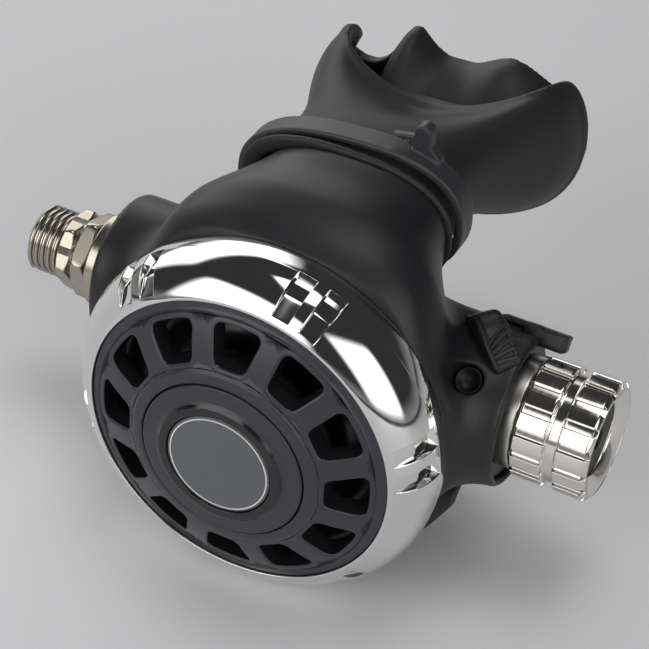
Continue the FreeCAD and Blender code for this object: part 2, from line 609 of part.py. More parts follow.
def exhaust_tee():
    def section(less):
        end = oval(s.teeEndDepth - less, s.teeEndHigh - less, s.teeEndZ, s.teeRound, s.teeEndY)
        mid = oval(s.teeMidDepth - less, s.teeMidHigh - less, s.teeMidZ, s.teeRound, s.teeMidY)
        return [(-s.teeHalf, end), (sized(0), mid), (s.teeHalf, end)]

    body = piece("exhaust_tee")
    loft(body, section(sized(0)), role="YZ_Plane")
    loft(body, section(s.teeWall), cut=True, role="YZ_Plane")
    sketch = sketch_on(body, "XY_Plane", -s.ringRadius)
    reach = s.teeHalf + s.overcut
    draw_loop(sketch, [(-reach, -reach), (reach, -reach), (reach, reach), (-reach, reach)])
    extrude(body, sketch, s.teeMidHigh, cut=True)
    doc.recompute()
    gap = s.gap
    spin(body, "V_Axis", [
        (0, s.ringFace), (s.ringRadius + gap, s.ringFace), (s.ringRadius + gap, s.drumShoulderEnd),
        (s.drumShoulder + gap, s.drumShoulderEnd + gap),
        (s.drumMid + gap, s.drumMidAt + gap, s.drumCurve),
        (s.drumRear + gap, s.drumRearAt + gap, s.drumCurve),
        (s.drumLast + gap, s.drumLastAt + gap), (0, s.drumBack + gap)], cut=True)
    sketch = sketch_on(body, "YZ_Plane", -s.teeHalf)
    draw_circle(sketch, 0, 0, s.bossRadius + gap)
    extrude(body, sketch, s.teeHalf * 2, cut=True, back=True)
    sketch = sketch_on(body, "XY_Plane", s.portSkirt - gap)
    draw_circle(sketch, 0, s.portAt, s.portRadius + s.portWall + gap)
    extrude(body, sketch, s.portTop - s.portSkirt + s.teeMidHigh, cut=True, back=True)


def hexagon(flats):
    corner = flats / math.sqrt(3)
    angles = [sized(60 * index) for index in range(6)]
    return [(corner * cosine(angle), corner * sine(angle)) for angle in angles]


def inlet_fitting():
    pitch = s.threadPitch
    profile = [(s.threadEnd, 0), (s.threadEnd, s.threadRoot)]
    for index in range(int(s.threadTurns.value)):
        start = s.threadEnd + pitch * (index + s.threadFlank)
        end = start + pitch * s.threadFlat
        profile += [(start, s.threadRadius), (end, s.threadRadius),
                    (end + pitch * s.threadFlank, s.threadRoot)]
    groove = s.barrelBore - 2 * s.sealHalf - 2 * s.fit
    profile += [
        (s.hexStart, s.threadRoot), (s.hexStart, s.neckRadius), (s.bossInletEnd, s.neckRadius),
        (s.bossInletEnd, s.shankRadius), (s.sealAt - s.grooveHalf, s.shankRadius),
        (s.sealAt - s.grooveHalf, groove), (s.sealAt + s.grooveHalf, groove),
        (s.sealAt + s.grooveHalf, s.shankRadius), (s.shankEnd, s.shankRadius), (s.shankEnd, 0)]
    body = turned("inlet_fitting", "H_Axis", profile)
    sketch = sketch_on(body, "YZ_Plane", s.hexStart)
    draw_loop(sketch, hexagon(s.hexFlats))
    extrude(body, sketch, s.hexEnd - s.hexStart)
    sketch = sketch_on(body, "YZ_Plane", s.threadEnd)
    draw_circle(sketch, 0, 0, s.inletBore)
    extrude(body, sketch, s.shankEnd - s.threadEnd, cut=True, back=True)


def inlet_lock_nut():
    body = piece("inlet_lock_nut")
    sketch = sketch_on(body, "YZ_Plane", s.nutStart)
    draw_loop(sketch, hexagon(s.nutFlats))
    draw_circle(sketch, 0, 0, s.neckRadius + s.gap)
    extrude(body, sketch, s.nutEnd - s.nutStart)


def inlet_washer():
    turned("inlet_washer", "H_Axis", tube_profile(
        s.washerStart, s.bossInletEnd, s.neckRadius + s.gap, s.washerRadius))


def inlet_seal():
    seal_ring("inlet_seal", s.sealAt, s.barrelBore - 2 * s.sealHalf - s.fit, s.sealHalf)


def valve_barrel():
    body = turned("valve_barrel", "H_Axis", tube_profile(
        s.bossInletEnd, s.barrelKnobEnd, s.barrelBore, s.barrelRadius))
    sketch = sketch_on(body, "XZ_Plane", -s.slotDepth)
    draw_loop(sketch, [(s.slotStart, -s.slotHalf), (s.slotEnd, -s.slotHalf),
                       (s.slotEnd, s.slotHalf), (s.slotStart, s.slotHalf)])
    extrude(body, sketch, s.barrelRadius, cut=True, back=True)
    sketch = sketch_on(body, "XY_Plane")
    draw_circle(sketch, s.airHoleAt, 0, s.airHole)
    extrude(body, sketch, s.barrelRadius, cut=True, back=True)


def valve_seat():
    groove = s.barrelBore - 2 * s.sealHalf - 2 * s.fit
    turned("valve_seat", "H_Axis", [
        (s.seatBack, s.seatBore), (s.seatTip, s.seatBore), (s.seatTip, s.seatTipRadius),
        (s.seatConeStart, s.shankRadius), (s.seatSealAt + s.grooveHalf, s.shankRadius),
        (s.seatSealAt + s.grooveHalf, groove), (s.seatSealAt - s.grooveHalf, groove),
        (s.seatSealAt - s.grooveHalf, s.shankRadius), (s.seatBack, s.shankRadius)])


def seat_seal():
    seal_ring("seat_seal", s.seatSealAt, s.barrelBore - 2 * s.sealHalf - s.fit, s.sealHalf)


def poppet_disc():
    turned("poppet_disc", "H_Axis", [
        (s.seatTip, 0), (s.seatTip + s.discThick, 0), (s.seatTip + s.discThick, s.discRadius),
        (s.seatTip, s.discRadius)])


def poppet():
    discBack = s.seatTip + s.discThick
    rim = s.seatTip + s.discThick / 2
    turned("poppet", "H_Axis", [
        (discBack, 0), (discBack, s.discRadius + s.fit), (rim, s.discRadius + s.fit),
        (rim, s.cupRadius), (rim + s.cupLength, s.cupRadius),
        (rim + s.cupLength, s.poppetBody), (s.poppetShoulder, s.poppetBody),
        (s.poppetShoulder, s.shoulderRadius),
        (s.poppetShoulder + s.shoulderThick, s.shoulderRadius),
        (s.poppetShoulder + s.shoulderThick, s.tailRadius), (s.tailEnd, s.tailRadius),
        (s.tailEnd, 0)])


def poppet_spring():
    start = s.poppetShoulder + s.shoulderThick
    coil("poppet_spring", start, s.padStart - start, s.springCoil, s.springWire,
         s.springTurns, along_y=False)


def spring_pad():
    bore = s.tailRadius + s.gap
    turned("spring_pad", "H_Axis", [
        (s.padStart, bore), (s.padDepth, bore), (s.padDepth, 0), (s.padEnd, 0),
        (s.padEnd, s.padRadius), (s.padStart, s.padRadius)])


def adjusting_screw():
    start = s.padEnd + s.gap
    turned("adjusting_screw", "H_Axis", [
        (start, 0), (start, s.padRadius), (s.screwHead, s.padRadius), (s.screwHead, s.screwStem),
        (s.screwEnd, s.screwStem), (s.screwEnd, s.screwHole), (s.capReach, s.screwHole),
        (s.capReach, 0)])


def packing_nut():
    bore = s.screwStem + s.fit
    turned("packing_nut", "H_Axis", [
        (s.packStart, bore), (s.packFlange, bore), (s.packFlange, s.packRadius - s.packEdge),
        (s.packFlange - s.packEdge, s.packRadius), (s.barrelKnobEnd, s.packRadius),
        (s.barrelKnobEnd, s.shankRadius), (s.packStart, s.shankRadius)])


def packing_seal():
    half = (s.barrelBore - s.screwStem) / 2 - s.fit
    seal_ring("packing_seal", s.packSealAt, s.screwStem + s.fit, half)


def adjust_knob():
    bore = s.screwStem + s.fit
    edge = s.knobEdge
    body = turned("adjust_knob", "H_Axis", [
        (s.knobStart, s.knobHollow), (s.knobStart, s.knobRadius - edge),
        (s.knobStart + edge, s.knobRadius), (s.bandOneEnd, s.knobRadius),
        (s.bandOneEnd + edge, s.knobWaist), (s.bandTwoStart - edge, s.knobWaist),
        (s.bandTwoStart, s.knobRadius), (s.bandTwoEnd, s.knobRadius), (s.knobEnd, s.knobRim),
        (s.knobEnd, s.coneRadius), (s.coneEnd, s.knobBore), (s.knobFloor, s.knobBore),
        (s.knobFloor, bore), (s.knobHollowEnd, bore), (s.knobHollowEnd, s.knobHollow)])
    for start, end in ((s.knobStart, s.bandOneEnd), (s.bandTwoStart, s.knobEnd)):
        half = s.toothGap / 2
        sketch = sketch_on(body, "YZ_Plane", start)
        draw_loop(sketch, [
            (-half, s.knobRadius - s.toothDepth), (half, s.knobRadius - s.toothDepth),
            (half, s.knobRadius + s.overcut), (-half, s.knobRadius + s.overcut)])
        groove = extrude(body, sketch, end - start, cut=True, back=True)
        repeat(body, groove, sketch, "N_Axis", s.toothCount)
        doc.recompute()


def knob_screw():
    turned("knob_screw", "H_Axis", [
        (s.capReach + s.gap, 0), (s.capReach + s.gap, s.screwHole - s.fit),
        (s.knobFloor, s.screwHole - s.fit), (s.knobFloor, s.capRadius),
        (s.capEnd, s.capRadius), (s.capEnd, 0)])


def venturi_lever():
    bore = s.barrelRadius + s.fit
    body = turned("venturi_lever", "H_Axis", [
        (s.sleeveStart, bore), (s.collarEnd, bore), (s.collarEnd, collarRadius),
        (s.collarStart, collarRadius), (s.collarStart, sleeveRadius),
        (s.sleeveStart, sleeveRadius)])
    blocks = [(s.collarStart, s.collarEnd, collarRadius - s.overcut, barIn + s.overcut),
              (s.barStart, s.barEnd, barIn, barOut),
              (s.barEnd - s.tipThick, s.barEnd, s.tipIn, barOut)]
    for start, end, low, high in blocks:
        sketch = sketch_on(body, "YZ_Plane", start, turn=("z", s.armAngle - 90))
        draw_loop(sketch, [(-s.armHalf, low), (s.armHalf, low), (s.armHalf, high),
                           (-s.armHalf, high)])
        extrude(body, sketch, end - start)


def venturi_vane():
    # collar pressed on the sleeve with a flap beside the mouth of the tube
    hub = vaneIn + s.vaneThick
    body = turned("venturi_vane", "H_Axis", tube_profile(
        s.sleeveStart, s.vaneEnd, sleeveRadius, hub))
    sketch = sketch_on(body, "YZ_Plane", s.vaneStart, turn=("z", s.vaneAngle - 90))
    half = s.vaneThick / 2
    draw_loop(sketch, [(-half, vaneIn), (half, vaneIn), (half, s.vaneOut),
                       (-half, s.vaneOut)])
    extrude(body, sketch, s.flapReach - s.vaneStart)


def lever_stop():
    # ribbed rest on the shoulder of the case that the arm comes up to
    body = piece("lever_stop")
    half = s.stopHalf / s.bossRadius * (180 / math.pi)
    low = s.stopAngle - half
    high = s.stopAngle + half
    sketch = sketch_on(body, "YZ_Plane", s.stopStart)
    inner, outer = s.bossRadius + s.fit, stopTop
    draw_loop(sketch, [
        (inner * cosine(low), inner * sine(low), -inner),
        (outer * cosine(low), outer * sine(low)),
        (outer * cosine(high), outer * sine(high), outer),
        (inner * cosine(high), inner * sine(high))])
    extrude(body, sketch, s.stopEnd - s.stopStart)
    for index in range(int(s.stopRibs.value)):
        start = s.stopEnd - s.ribPitch * (index + 1) + s.ribWide
        sketch = sketch_on(body, "YZ_Plane", start, turn=("z", s.stopAngle - 90))
        root, crest = outer - s.ribRoot, outer + s.ribHigh
        draw_loop(sketch, [(-s.ribHalf, root), (s.ribHalf, root), (s.ribHalf, crest),
                           (-s.ribHalf, crest)])
        extrude(body, sketch, s.ribWide, back=True)


def case_pin():
    body = piece("case_pin")
    sketch = sketch_on(body, "XY_Plane", pinRoot, turn=("x", s.pinAngle - 90))
    draw_circle(sketch, s.pinAcross, 0, s.pinRadius)
    extrude(body, sketch, s.pinHigh + s.pinDeep)


def demand_lever():
    body = piece("demand_lever")
    tipBack = plateBack + s.gap + s.leverThick
    sketch = sketch_on(body, "XY_Plane")
    draw_loop(sketch, [
        (s.leverTip, plateBack + s.gap), (s.leverTip, tipBack), (s.leverKnee, tipBack),
        (s.pivotAcross - s.pivotRadius, s.pivotFront),
        (s.pivotAcross + s.pivotRadius, s.pivotFront),
        (s.leverKnee + s.leverThick, plateBack + s.gap)])
    extrude(body, sketch, s.leverHalf * 2, middle=True)
    sketch = sketch_on(body, "XY_Plane")
    draw_circle(sketch, s.pivotAcross, s.pivotFront, s.pivotRadius)
    extrude(body, sketch, s.pivotHalf * 2, middle=True)
    footBack = s.poppetShoulder - s.gap
    for low in (s.footIn, -s.footOut):
        sketch = sketch_on(body, "XY_Plane", low)
        draw_loop(sketch, [
            (footBack - s.footThick, s.footTip), (footBack - s.footThick, s.footKnee),
            (s.pivotAcross - s.pivotRadius, s.pivotFront),
            (s.pivotAcross + s.pivotRadius, s.pivotFront), (footBack, s.footKnee),
            (footBack, s.footTip)])
        extrude(body, sketch, s.footOut - s.footIn)


def box_on(body, low, high):
    # block between two corners, added to the body
    sketch = sketch_on(body, "XY_Plane", low[2])
    draw_loop(sketch, [(low[0], low[1]), (high[0], low[1]), (high[0], high[1]),
                       (low[0], high[1])])
    extrude(body, sketch, high[2] - low[2])


def mouthpiece():
    share = s.sideRound
    body = piece("mouthpiece")
    sketch = sketch_on(body, "XZ_Plane", -s.tubeEnd)
    draw_loop(sketch, oval(sleeveWide + s.lipOverWide, sleeveHigh + s.lipOverHigh, tubeHeight,
                           share))
    extrude(body, sketch, s.lipEnd - s.tubeEnd, back=True)
    sleeve = oval(sleeveWide, sleeveHigh, tubeHeight, share)
    sketch = sketch_on(body, "XZ_Plane", -s.tubeEnd)
    draw_loop(sketch, sleeve)
    extrude(body, sketch, s.spigotEnd - s.tubeEnd, back=True)
    loft(body, [
        (-s.spigotEnd, sleeve),
        (-s.neckAt, oval(sleeveWide - s.neckInWide, sleeveHigh - s.neckInHigh,
                         tubeHeight - s.neckDrop, share)),
        (-s.bellAt, oval(s.bellWide, s.bellHigh, tubeHeight - s.bellDrop, share)),
        (-s.flareAt, oval(s.flareWide, s.flareHigh, tubeHeight - s.flareDrop, share)),
        (-s.rimAt, oval(s.rimWide, s.rimHigh, rimHeight, share))])
    doc.recompute()
    sketch = sketch_on(body, "XZ_Plane", -s.tubeEnd)
    draw_loop(sketch, oval(s.spigotWide + s.gap, s.spigotHigh + s.gap, tubeHeight, share))
    extrude(body, sketch, s.spigotEnd - s.tubeEnd + s.gap, cut=True)
    loft(body, [
        (-s.spigotEnd, oval(s.spigotWide - s.airStepWide, s.spigotHigh - s.airStepHigh,
                            tubeHeight, share)),
        (-s.airEndAt, oval(s.airEndWide, s.airEndHigh, tubeHeight - s.airEndDrop, share))],
         cut=True)
    loft(body, [
        (-s.dishAt, oval(s.dishWide, s.dishHigh, dishHeight, share)),
        (-s.rimAt - s.overcut, oval(s.dishOutWide, s.dishOutHigh, dishHeight, share))], cut=True)
    # rim that wraps back round the jaw
    sketch = sketch_on(body, "XY_Plane", rimHeight - s.rimHigh * 2)
    tip, back = s.rimDip + s.rimTip, s.rimAt + s.rimHigh
    draw_loop(sketch, [
        (s.rimWide, back), (-s.rimWide, back), (-s.rimWide, tip),
        (0, s.rimDip, s.rimCurve), (s.rimWide, tip, s.rimCurve)])
    extrude(body, sketch, s.rimHigh * 4, cut=True, back=True)
    # dip in its upper edge for the lip
    loft(body, [
        (-s.dipStart, oval(s.dipStartWide, s.dipStartHigh, tubeHeight + s.dipStartRise,
                           s.dipRound)),
        (-s.dipEnd, oval(s.dipEndWide, s.dipEndHigh, tubeHeight + s.dipEndRise,
                         s.dipRound))], cut=True)
    doc.recompute()
    tabLow = tubeHeight - s.tabDrop
    for side in (1, -1):
        inner, outer = sorted((side * s.tabIn, side * s.tabOut), key=lambda size: size.value)
        box_on(body, (inner, s.tabStart, tabLow), (outer, s.tabEnd, tabLow + s.tabThick))
        nub = sorted((side * s.tabIn, side * (s.tabIn + s.nubWall)), key=lambda size: size.value)
        box_on(body, (nub[0], s.nubStart, tubeHeight - s.nubDrop),
               (nub[1], s.tabEnd, tubeHeight - s.nubTopDrop))
        hump = sorted((side * s.humpIn, side * (s.tabIn + s.nubWall)), key=lambda size: size.value)
        box_on(body, (hump[0], s.nubStart, tubeHeight - s.bridgeDrop),
               (hump[1], s.humpEnd, tubeHeight + s.humpRise))
    low, top = tubeHeight - s.bridgeDrop, tubeHeight + s.bridgeRise
    sketch = sketch_on(body, "YZ_Plane")
    draw_loop(sketch, [
        (s.bridgeFront, low), (s.bridgeKnee, low), (s.bridgeCrest, top - s.bridgeThick),
        (s.bridgeBack, top - s.bridgeThick), (s.bridgeBack, top), (s.bridgeCrest, top),
        (s.bridgeKnee, low + s.bridgeThick), (s.bridgeFront, low + s.bridgeThick)])
    extrude(body, sketch, s.tabIn * 2 + s.nubWall, middle=True)


def mouthpiece_clamp():
    body = piece("mouthpiece_clamp")
    bandTop = tubeHeight + bandHigh
    sketch = sketch_on(body, "XZ_Plane", -s.bandStart)
    draw_loop(sketch, oval(bandWide, bandHigh, tubeHeight, s.sideRound))
    extrude(body, sketch, s.bandEnd - s.bandStart, back=True)
    box_on(body, (s.buckleAcross - s.buckleHalf, s.buckleStart, bandTop - s.buckleSink),
           (s.buckleAcross + s.buckleHalf, s.buckleEnd, bandTop + s.buckleHigh))
    sketch = sketch_on(body, "XZ_Plane", -s.bandStart)
    draw_loop(sketch, oval(sleeveWide + s.gap, sleeveHigh + s.gap, tubeHeight, s.sideRound))
    extrude(body, sketch, s.bandEnd - s.bandStart + s.overcut, cut=True)


for build_piece in (
        front_ring, friction_washer, purge_cover, purge_button, purge_clip, purge_badge,
        purge_spring, diaphragm_membrane, diaphragm_plate, case, exhaust_valve, exhaust_tee,
        inlet_fitting, inlet_lock_nut, inlet_washer, inlet_seal, valve_barrel, valve_seat,
        seat_seal, poppet_disc, poppet, poppet_spring, spring_pad, adjusting_screw,
        packing_nut, packing_seal, adjust_knob, knob_screw, venturi_lever, venturi_vane,
        lever_stop, case_pin, demand_lever, mouthpiece, mouthpiece_clamp):
    build_piece()
doc.recompute()

os.makedirs("parts", exist_ok=True)
for part in parts:
    if "Invalid" in part.State or "Error" in part.State:
        raise RuntimeError(part.Label + " did not build: " + str(part.State))
    if part.Shape.isNull() or not part.Shape.isValid():
        raise RuntimeError(part.Label + " has no valid solid")
    part.Shape.exportStep("parts/%s.step" % part.Label)
    print("%s: %d solid, %.0f mm3" % (part.Label, len(part.Shape.Solids), part.Shape.Volume))
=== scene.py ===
import math
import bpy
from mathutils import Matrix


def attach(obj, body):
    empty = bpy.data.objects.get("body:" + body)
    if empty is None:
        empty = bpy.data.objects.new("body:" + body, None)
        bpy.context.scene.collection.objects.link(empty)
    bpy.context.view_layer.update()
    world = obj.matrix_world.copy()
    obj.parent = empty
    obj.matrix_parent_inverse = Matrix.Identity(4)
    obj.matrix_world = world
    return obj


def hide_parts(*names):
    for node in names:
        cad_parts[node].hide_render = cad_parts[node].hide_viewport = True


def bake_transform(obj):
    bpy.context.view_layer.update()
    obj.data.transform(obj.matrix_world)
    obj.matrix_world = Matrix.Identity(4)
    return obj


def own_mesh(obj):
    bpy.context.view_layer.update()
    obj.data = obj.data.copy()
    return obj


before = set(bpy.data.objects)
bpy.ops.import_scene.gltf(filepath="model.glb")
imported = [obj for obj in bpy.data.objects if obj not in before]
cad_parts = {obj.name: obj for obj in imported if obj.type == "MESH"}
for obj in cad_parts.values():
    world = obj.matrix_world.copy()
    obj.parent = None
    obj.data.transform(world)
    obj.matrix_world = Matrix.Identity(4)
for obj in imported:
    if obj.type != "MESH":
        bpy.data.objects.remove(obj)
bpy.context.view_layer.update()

from types import SimpleNamespace

import bpy
import numpy as np
from mathutils import Matrix, Vector

# The second stage of a diving regulator. Shapes are worked out in millimetres from the
# axis of the valve and lifted to the frame when their mesh is made.
# X runs from the hose inlet to the knob, the purge cover faces -Y, the mouthpiece +Y.

axisHeight = 0.0377
print("frame loaded")


def linear(hexColour):
    # sRGB hex to the linear colour that the shaders take
    parts = [int(hexColour[i:i + 2], 16) / 255 for i in (1, 3, 5)]
    return tuple(c / 12.92 if c <= 0.04045 else ((c + 0.055) / 1.055) ** 2.4 for c in parts) + (1,)


def addNode(tree, kind, settings=None, values=None, links=None):
    # one node with its settings, its plain input values and the sockets that feed it
    node = tree.nodes.new(kind)
    for key, value in (settings or {}).items():
        setattr(node, key, value)
    for key, value in (values or {}).items():
        node.inputs[key].default_value = value
    for key, socket in (links or {}).items():
        tree.links.new(socket, node.inputs[key])
    return node


# materials

def newMaterial(name):
    material = bpy.data.materials.new(name)
    material.use_nodes = True
    tree = material.node_tree
    tree.nodes.clear()
    shader = addNode(tree, "ShaderNodeBsdfPrincipled")
    addNode(tree, "ShaderNodeOutputMaterial", links={"Surface": shader.outputs["BSDF"]})
    place = addNode(tree, "ShaderNodeTexCoord").outputs["Object"]
    return material, tree, shader, place


def moulded(name, colour, rough, grain, depth, spread, specular=0.5):
    # injection-moulded: an even dark body under a fine spark-eroded grain, which spreads the
    # highlight and breaks it up a little. grain counts them to the metre; they are drawn
    # coarser than the real 0.1 mm, so that they show
    material, tree, shader, place = newMaterial(name)
    grainNoise = addNode(tree, "ShaderNodeTexNoise", values={"Scale": grain, "Detail": 3.0},
                         links={"Vector": place})
    cloud = addNode(tree, "ShaderNodeTexNoise", values={"Scale": 45.0, "Detail": 2.0},
                    links={"Vector": place})
    roughness = addNode(tree, "ShaderNodeMapRange",
                        values={"To Min": rough - spread, "To Max": rough + spread},
                        links={"Value": cloud.outputs["Fac"]})
    tint = addNode(tree, "ShaderNodeMix", settings={"data_type": "RGBA"},
                   links={"Factor": cloud.outputs["Fac"]})
    for key, gain in (("A", 0.88), ("B", 1.12)):
        tint.inputs[key].default_value = tuple(c * gain for c in linear(colour)[:3]) + (1,)
    bump = addNode(tree, "ShaderNodeBump", values={"Strength": 0.35, "Distance": depth},
                   links={"Height": grainNoise.outputs["Fac"]})
    tree.links.new(tint.outputs["Result"], shader.inputs["Base Color"])
    tree.links.new(roughness.outputs["Result"], shader.inputs["Roughness"])
    tree.links.new(bump.outputs["Normal"], shader.inputs["Normal"])
    shader.inputs["IOR"].default_value = 1.5
    shader.inputs["Specular IOR Level"].default_value = specular
    return material


def roundAxis(tree, place, axis):
    # distance along the turning axis and radius round it
    split = addNode(tree, "ShaderNodeSeparateXYZ", links={"Vector": place}).outputs
    height = addNode(tree, "ShaderNodeMath", settings={"operation": "SUBTRACT"},
                     values={1: axisHeight}, links={0: split["Z"]})
    side, distance = (split["Y"], split["X"]) if axis == "x" else (split["X"], split["Y"])
    flat = addNode(tree, "ShaderNodeCombineXYZ", links={"X": side, "Y": height.outputs[0]})
    radius = addNode(tree, "ShaderNodeVectorMath", settings={"operation": "LENGTH"},
                     links={"Vector": flat.outputs[0]})
    return distance, radius.outputs["Value"]


def turnedMetal(name, colour, rough, spread, axis, pitch, depth):
    # metal turned on a lathe and plated: fine rings left by the tool. pitch is in metres,
    # a few times the real 0.1 mm, so that the rings show
    material, tree, shader, place = newMaterial(name)
    distance, radius = roundAxis(tree, place, axis)
    rings = addNode(tree, "ShaderNodeCombineXYZ", links={"X": distance, "Y": radius})
    lines = addNode(tree, "ShaderNodeTexNoise", values={"Scale": 1 / pitch, "Detail": 2.0},
                    links={"Vector": rings.outputs[0]})
    stain = addNode(tree, "ShaderNodeTexNoise", values={"Scale": 90.0, "Detail": 3.0},
                    links={"Vector": place})
    both = addNode(tree, "ShaderNodeMath", settings={"operation": "MULTIPLY"},
                   links={0: lines.outputs["Fac"], 1: stain.outputs["Fac"]})
    roughness = addNode(tree, "ShaderNodeMapRange",
                        values={"From Min": 0.1, "From Max": 0.5, "To Min": rough - spread,
                                "To Max": rough + spread}, links={"Value": both.outputs[0]})
    bump = addNode(tree, "ShaderNodeBump", values={"Strength": 0.3, "Distance": depth},
                   links={"Height": lines.outputs["Fac"]})
    shader.inputs["Base Color"].default_value = linear(colour)
    shader.inputs["Metallic"].default_value = 1.0
    tree.links.new(roughness.outputs["Result"], shader.inputs["Roughness"])
    tree.links.new(bump.outputs["Normal"], shader.inputs["Normal"])
    return material


def badgeDisc(name, face, line, lineRadius, lineWidth):
    # printed acrylic disc: flat grey with one fine pale ring near its edge
    material, tree, shader, place = newMaterial(name)
    onLine = addNode(tree, "ShaderNodeMath", settings={"operation": "COMPARE"},
                     values={1: lineRadius, 2: lineWidth / 2},
                     links={0: roundAxis(tree, place, "y")[1]})
    mix = addNode(tree, "ShaderNodeMix", settings={"data_type": "RGBA"},
                  links={"Factor": onLine.outputs[0]})
    mix.inputs["A"].default_value = linear(face)
    mix.inputs["B"].default_value = linear(line)
    speck = addNode(tree, "ShaderNodeTexNoise", values={"Scale": 400.0, "Detail": 3.0},
                    links={"Vector": place})
    roughness = addNode(tree, "ShaderNodeMapRange", values={"To Min": 0.22, "To Max": 0.36},
                        links={"Value": speck.outputs["Fac"]})
    tree.links.new(mix.outputs["Result"], shader.inputs["Base Color"])
    tree.links.new(roughness.outputs["Result"], shader.inputs["Roughness"])
    return material


# colour, roughness, grains to the metre, depth of the grain in metres, spread of the
# roughness and, where it isn't the usual one, the specular level
casePlastic = moulded("caseGlassFilledNylon", "#201F22", 0.42, 1400.0, 0.00003, 0.06, 0.4)
bandPlastic = moulded("bandNylon", "#323134", 0.45, 1200.0, 0.00002, 0.05)
coverPlastic = moulded("coverPolycarbonate", "#313037", 0.34, 1600.0, 0.00002, 0.05)
# on the cover's window walls its darker colour is painted shade
glossPlastic = moulded("buttonGlossAbs", "#1B1B1D", 0.10, 600.0, 0.000004, 0.03)
capPlastic = moulded("knobCapAcetal", "#121213", 0.45, 900.0, 0.00002, 0.05, 0.3)
teePlastic = moulded("teeMouldedRubber", "#1F1E21", 0.5, 1300.0, 0.00003, 0.05)
silicone = moulded("mouthpieceSilicone", "#232224", 0.52, 900.0, 0.00004, 0.06, 0.4)
membraneSilicone = moulded("membraneSilicone", "#141415", 0.3, 900.0, 0.00002, 0.06)
palePlastic = moulded("acetalPoppet", "#C9C7C0", 0.4, 900.0, 0.00002, 0.05)
# colour, roughness, its spread, axis it was turned round, pitch and depth of the rings
ringChrome = turnedMetal("polishedChromeRing", "#E4E3E1", 0.07, 0.035, "y", 0.0006, 0.0000015)
knobChrome = turnedMetal("chromedKnobBrass", "#E6E3DD", 0.13, 0.05, "x", 0.0004, 0.000004)
collarMetal = turnedMetal("satinTurnedCollar", "#C9C7C2", 0.36, 0.06, "x", 0.0003, 0.000008)
inletMetal = turnedMetal("nickelPlatedBrass", "#AFA99D", 0.24, 0.06, "x", 0.0004, 0.000006)
springSteel = turnedMetal("springSteel", "#B5B5B5", 0.3, 0.05, "y", 0.0005, 0.000002)
badgeFace = badgeDisc("printedAcrylicBadge", "#5A5C5F", "#DCDCDA", 0.01015, 0.00026)
print("materials made")


# mesh tools

def placeObject(name, data):
    thing = bpy.data.objects.new(name, data)
    bpy.context.scene.collection.objects.link(thing)
    return thing


def addPiece(name, vertices, faces, material):
    # mesh object from millimetres round the valve's axis
    mesh = bpy.data.meshes.new(name)
    points = np.asarray(vertices, float) * 0.001
    points[:, 2] += axisHeight
    mesh.from_pydata(points.tolist(), [], [list(face) for face in faces])
    mesh.validate()
    mesh.shade_smooth()
    mesh.materials.append(material)
    return placeObject(name, mesh)


def applyModifiers(piece):
    # what the modifiers give becomes the piece's own mesh
    graph = bpy.context.evaluated_depsgraph_get()
    graph.update()
    mesh = bpy.data.meshes.new_from_object(piece.evaluated_get(graph))
    mesh.name = piece.name
    piece.modifiers.clear()
    piece.data = mesh
    mesh.shade_smooth()


def faceOutwards(piece):
    # a closed mesh with a negative volume is inside out
    mesh = piece.data
    points = np.array([v.co for v in mesh.vertices])
    volume = 0.0
    for polygon in mesh.polygons:
        corner = points[list(polygon.vertices)]
        for k in range(1, len(corner) - 1):
            volume += np.dot(corner[0], np.cross(corner[k], corner[k + 1]))
    if volume < 0:
        mesh.flip_normals()


def gridFaces(rows, columns, closedRows=False, closedColumns=False, first=0):
    # quads over a grid of points, which may close on itself either way
    faces = []
    for i in range(rows if closedRows else rows - 1):
        for k in range(columns if closedColumns else columns - 1):
            a, b = first + i * columns, first + (i + 1) % rows * columns
            m = (k + 1) % columns
            faces.append((a + k, a + m, b + m, b + k))
    return faces


def paintFaces(piece, material, chosen):
    # second finish on the faces picked by their radius, their place along Y and their normal
    piece.data.materials.append(material)
    for polygon in piece.data.polygons:
        middle = polygon.center
        radius = math.hypot(middle.x, middle.z - axisHeight) * 1000
        if chosen(radius, middle.y * 1000, abs(polygon.normal.y)):
            polygon.material_index = 1
    return piece


def finish(piece, body, *nodes):
    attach(piece, body)
    if nodes:
        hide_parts(*nodes)


# fields: distance-like functions in millimetres, negative inside

def ease(t):
    # share from 0 to 1 that starts and ends gently
    t = np.clip(t, 0, 1)
    return t * t * (3 - 2 * t)


def mixed(pair, t):
    return pair[0] + (pair[1] - pair[0]) * t


def between(value, low, high):
    return np.abs(value - (low + high) / 2) - (high - low) / 2


def roundJoin(a, b, radius):
    # both shapes, with a fillet where they meet
    u, v = np.maximum(radius - a, 0), np.maximum(radius - b, 0)
    return np.maximum(radius, np.minimum(a, b)) - np.sqrt(u * u + v * v)


def roundBoth(a, b, radius):
    # what the two shapes share, with a rounded edge
    u, v = np.maximum(radius + a, 0), np.maximum(radius + b, 0)
    return np.minimum(-radius, np.maximum(a, b)) + np.sqrt(u * u + v * v)


def blockField(x, y, z, low, high, radius):
    # box between two corners with rounded edges
    parts = []
    for value, start, end in zip((x, y, z), low, high):
        parts.append(np.abs(value - (start + end) / 2) - (end - start) / 2 + radius)
    outside = np.sqrt(sum(np.maximum(part, 0) ** 2 for part in parts))
    inside = np.minimum(np.maximum(np.maximum(parts[0], parts[1]), parts[2]), 0)
    return outside + inside - radius


def ovalField(x, z, wide, high, power):
    # oval with flattened sides; power 2 makes it an ellipse
    return ((np.abs(x) / wide) ** power + (np.abs(z) / high) ** power) ** (1 / power) \
        * np.minimum(wide, high) - np.minimum(wide, high)


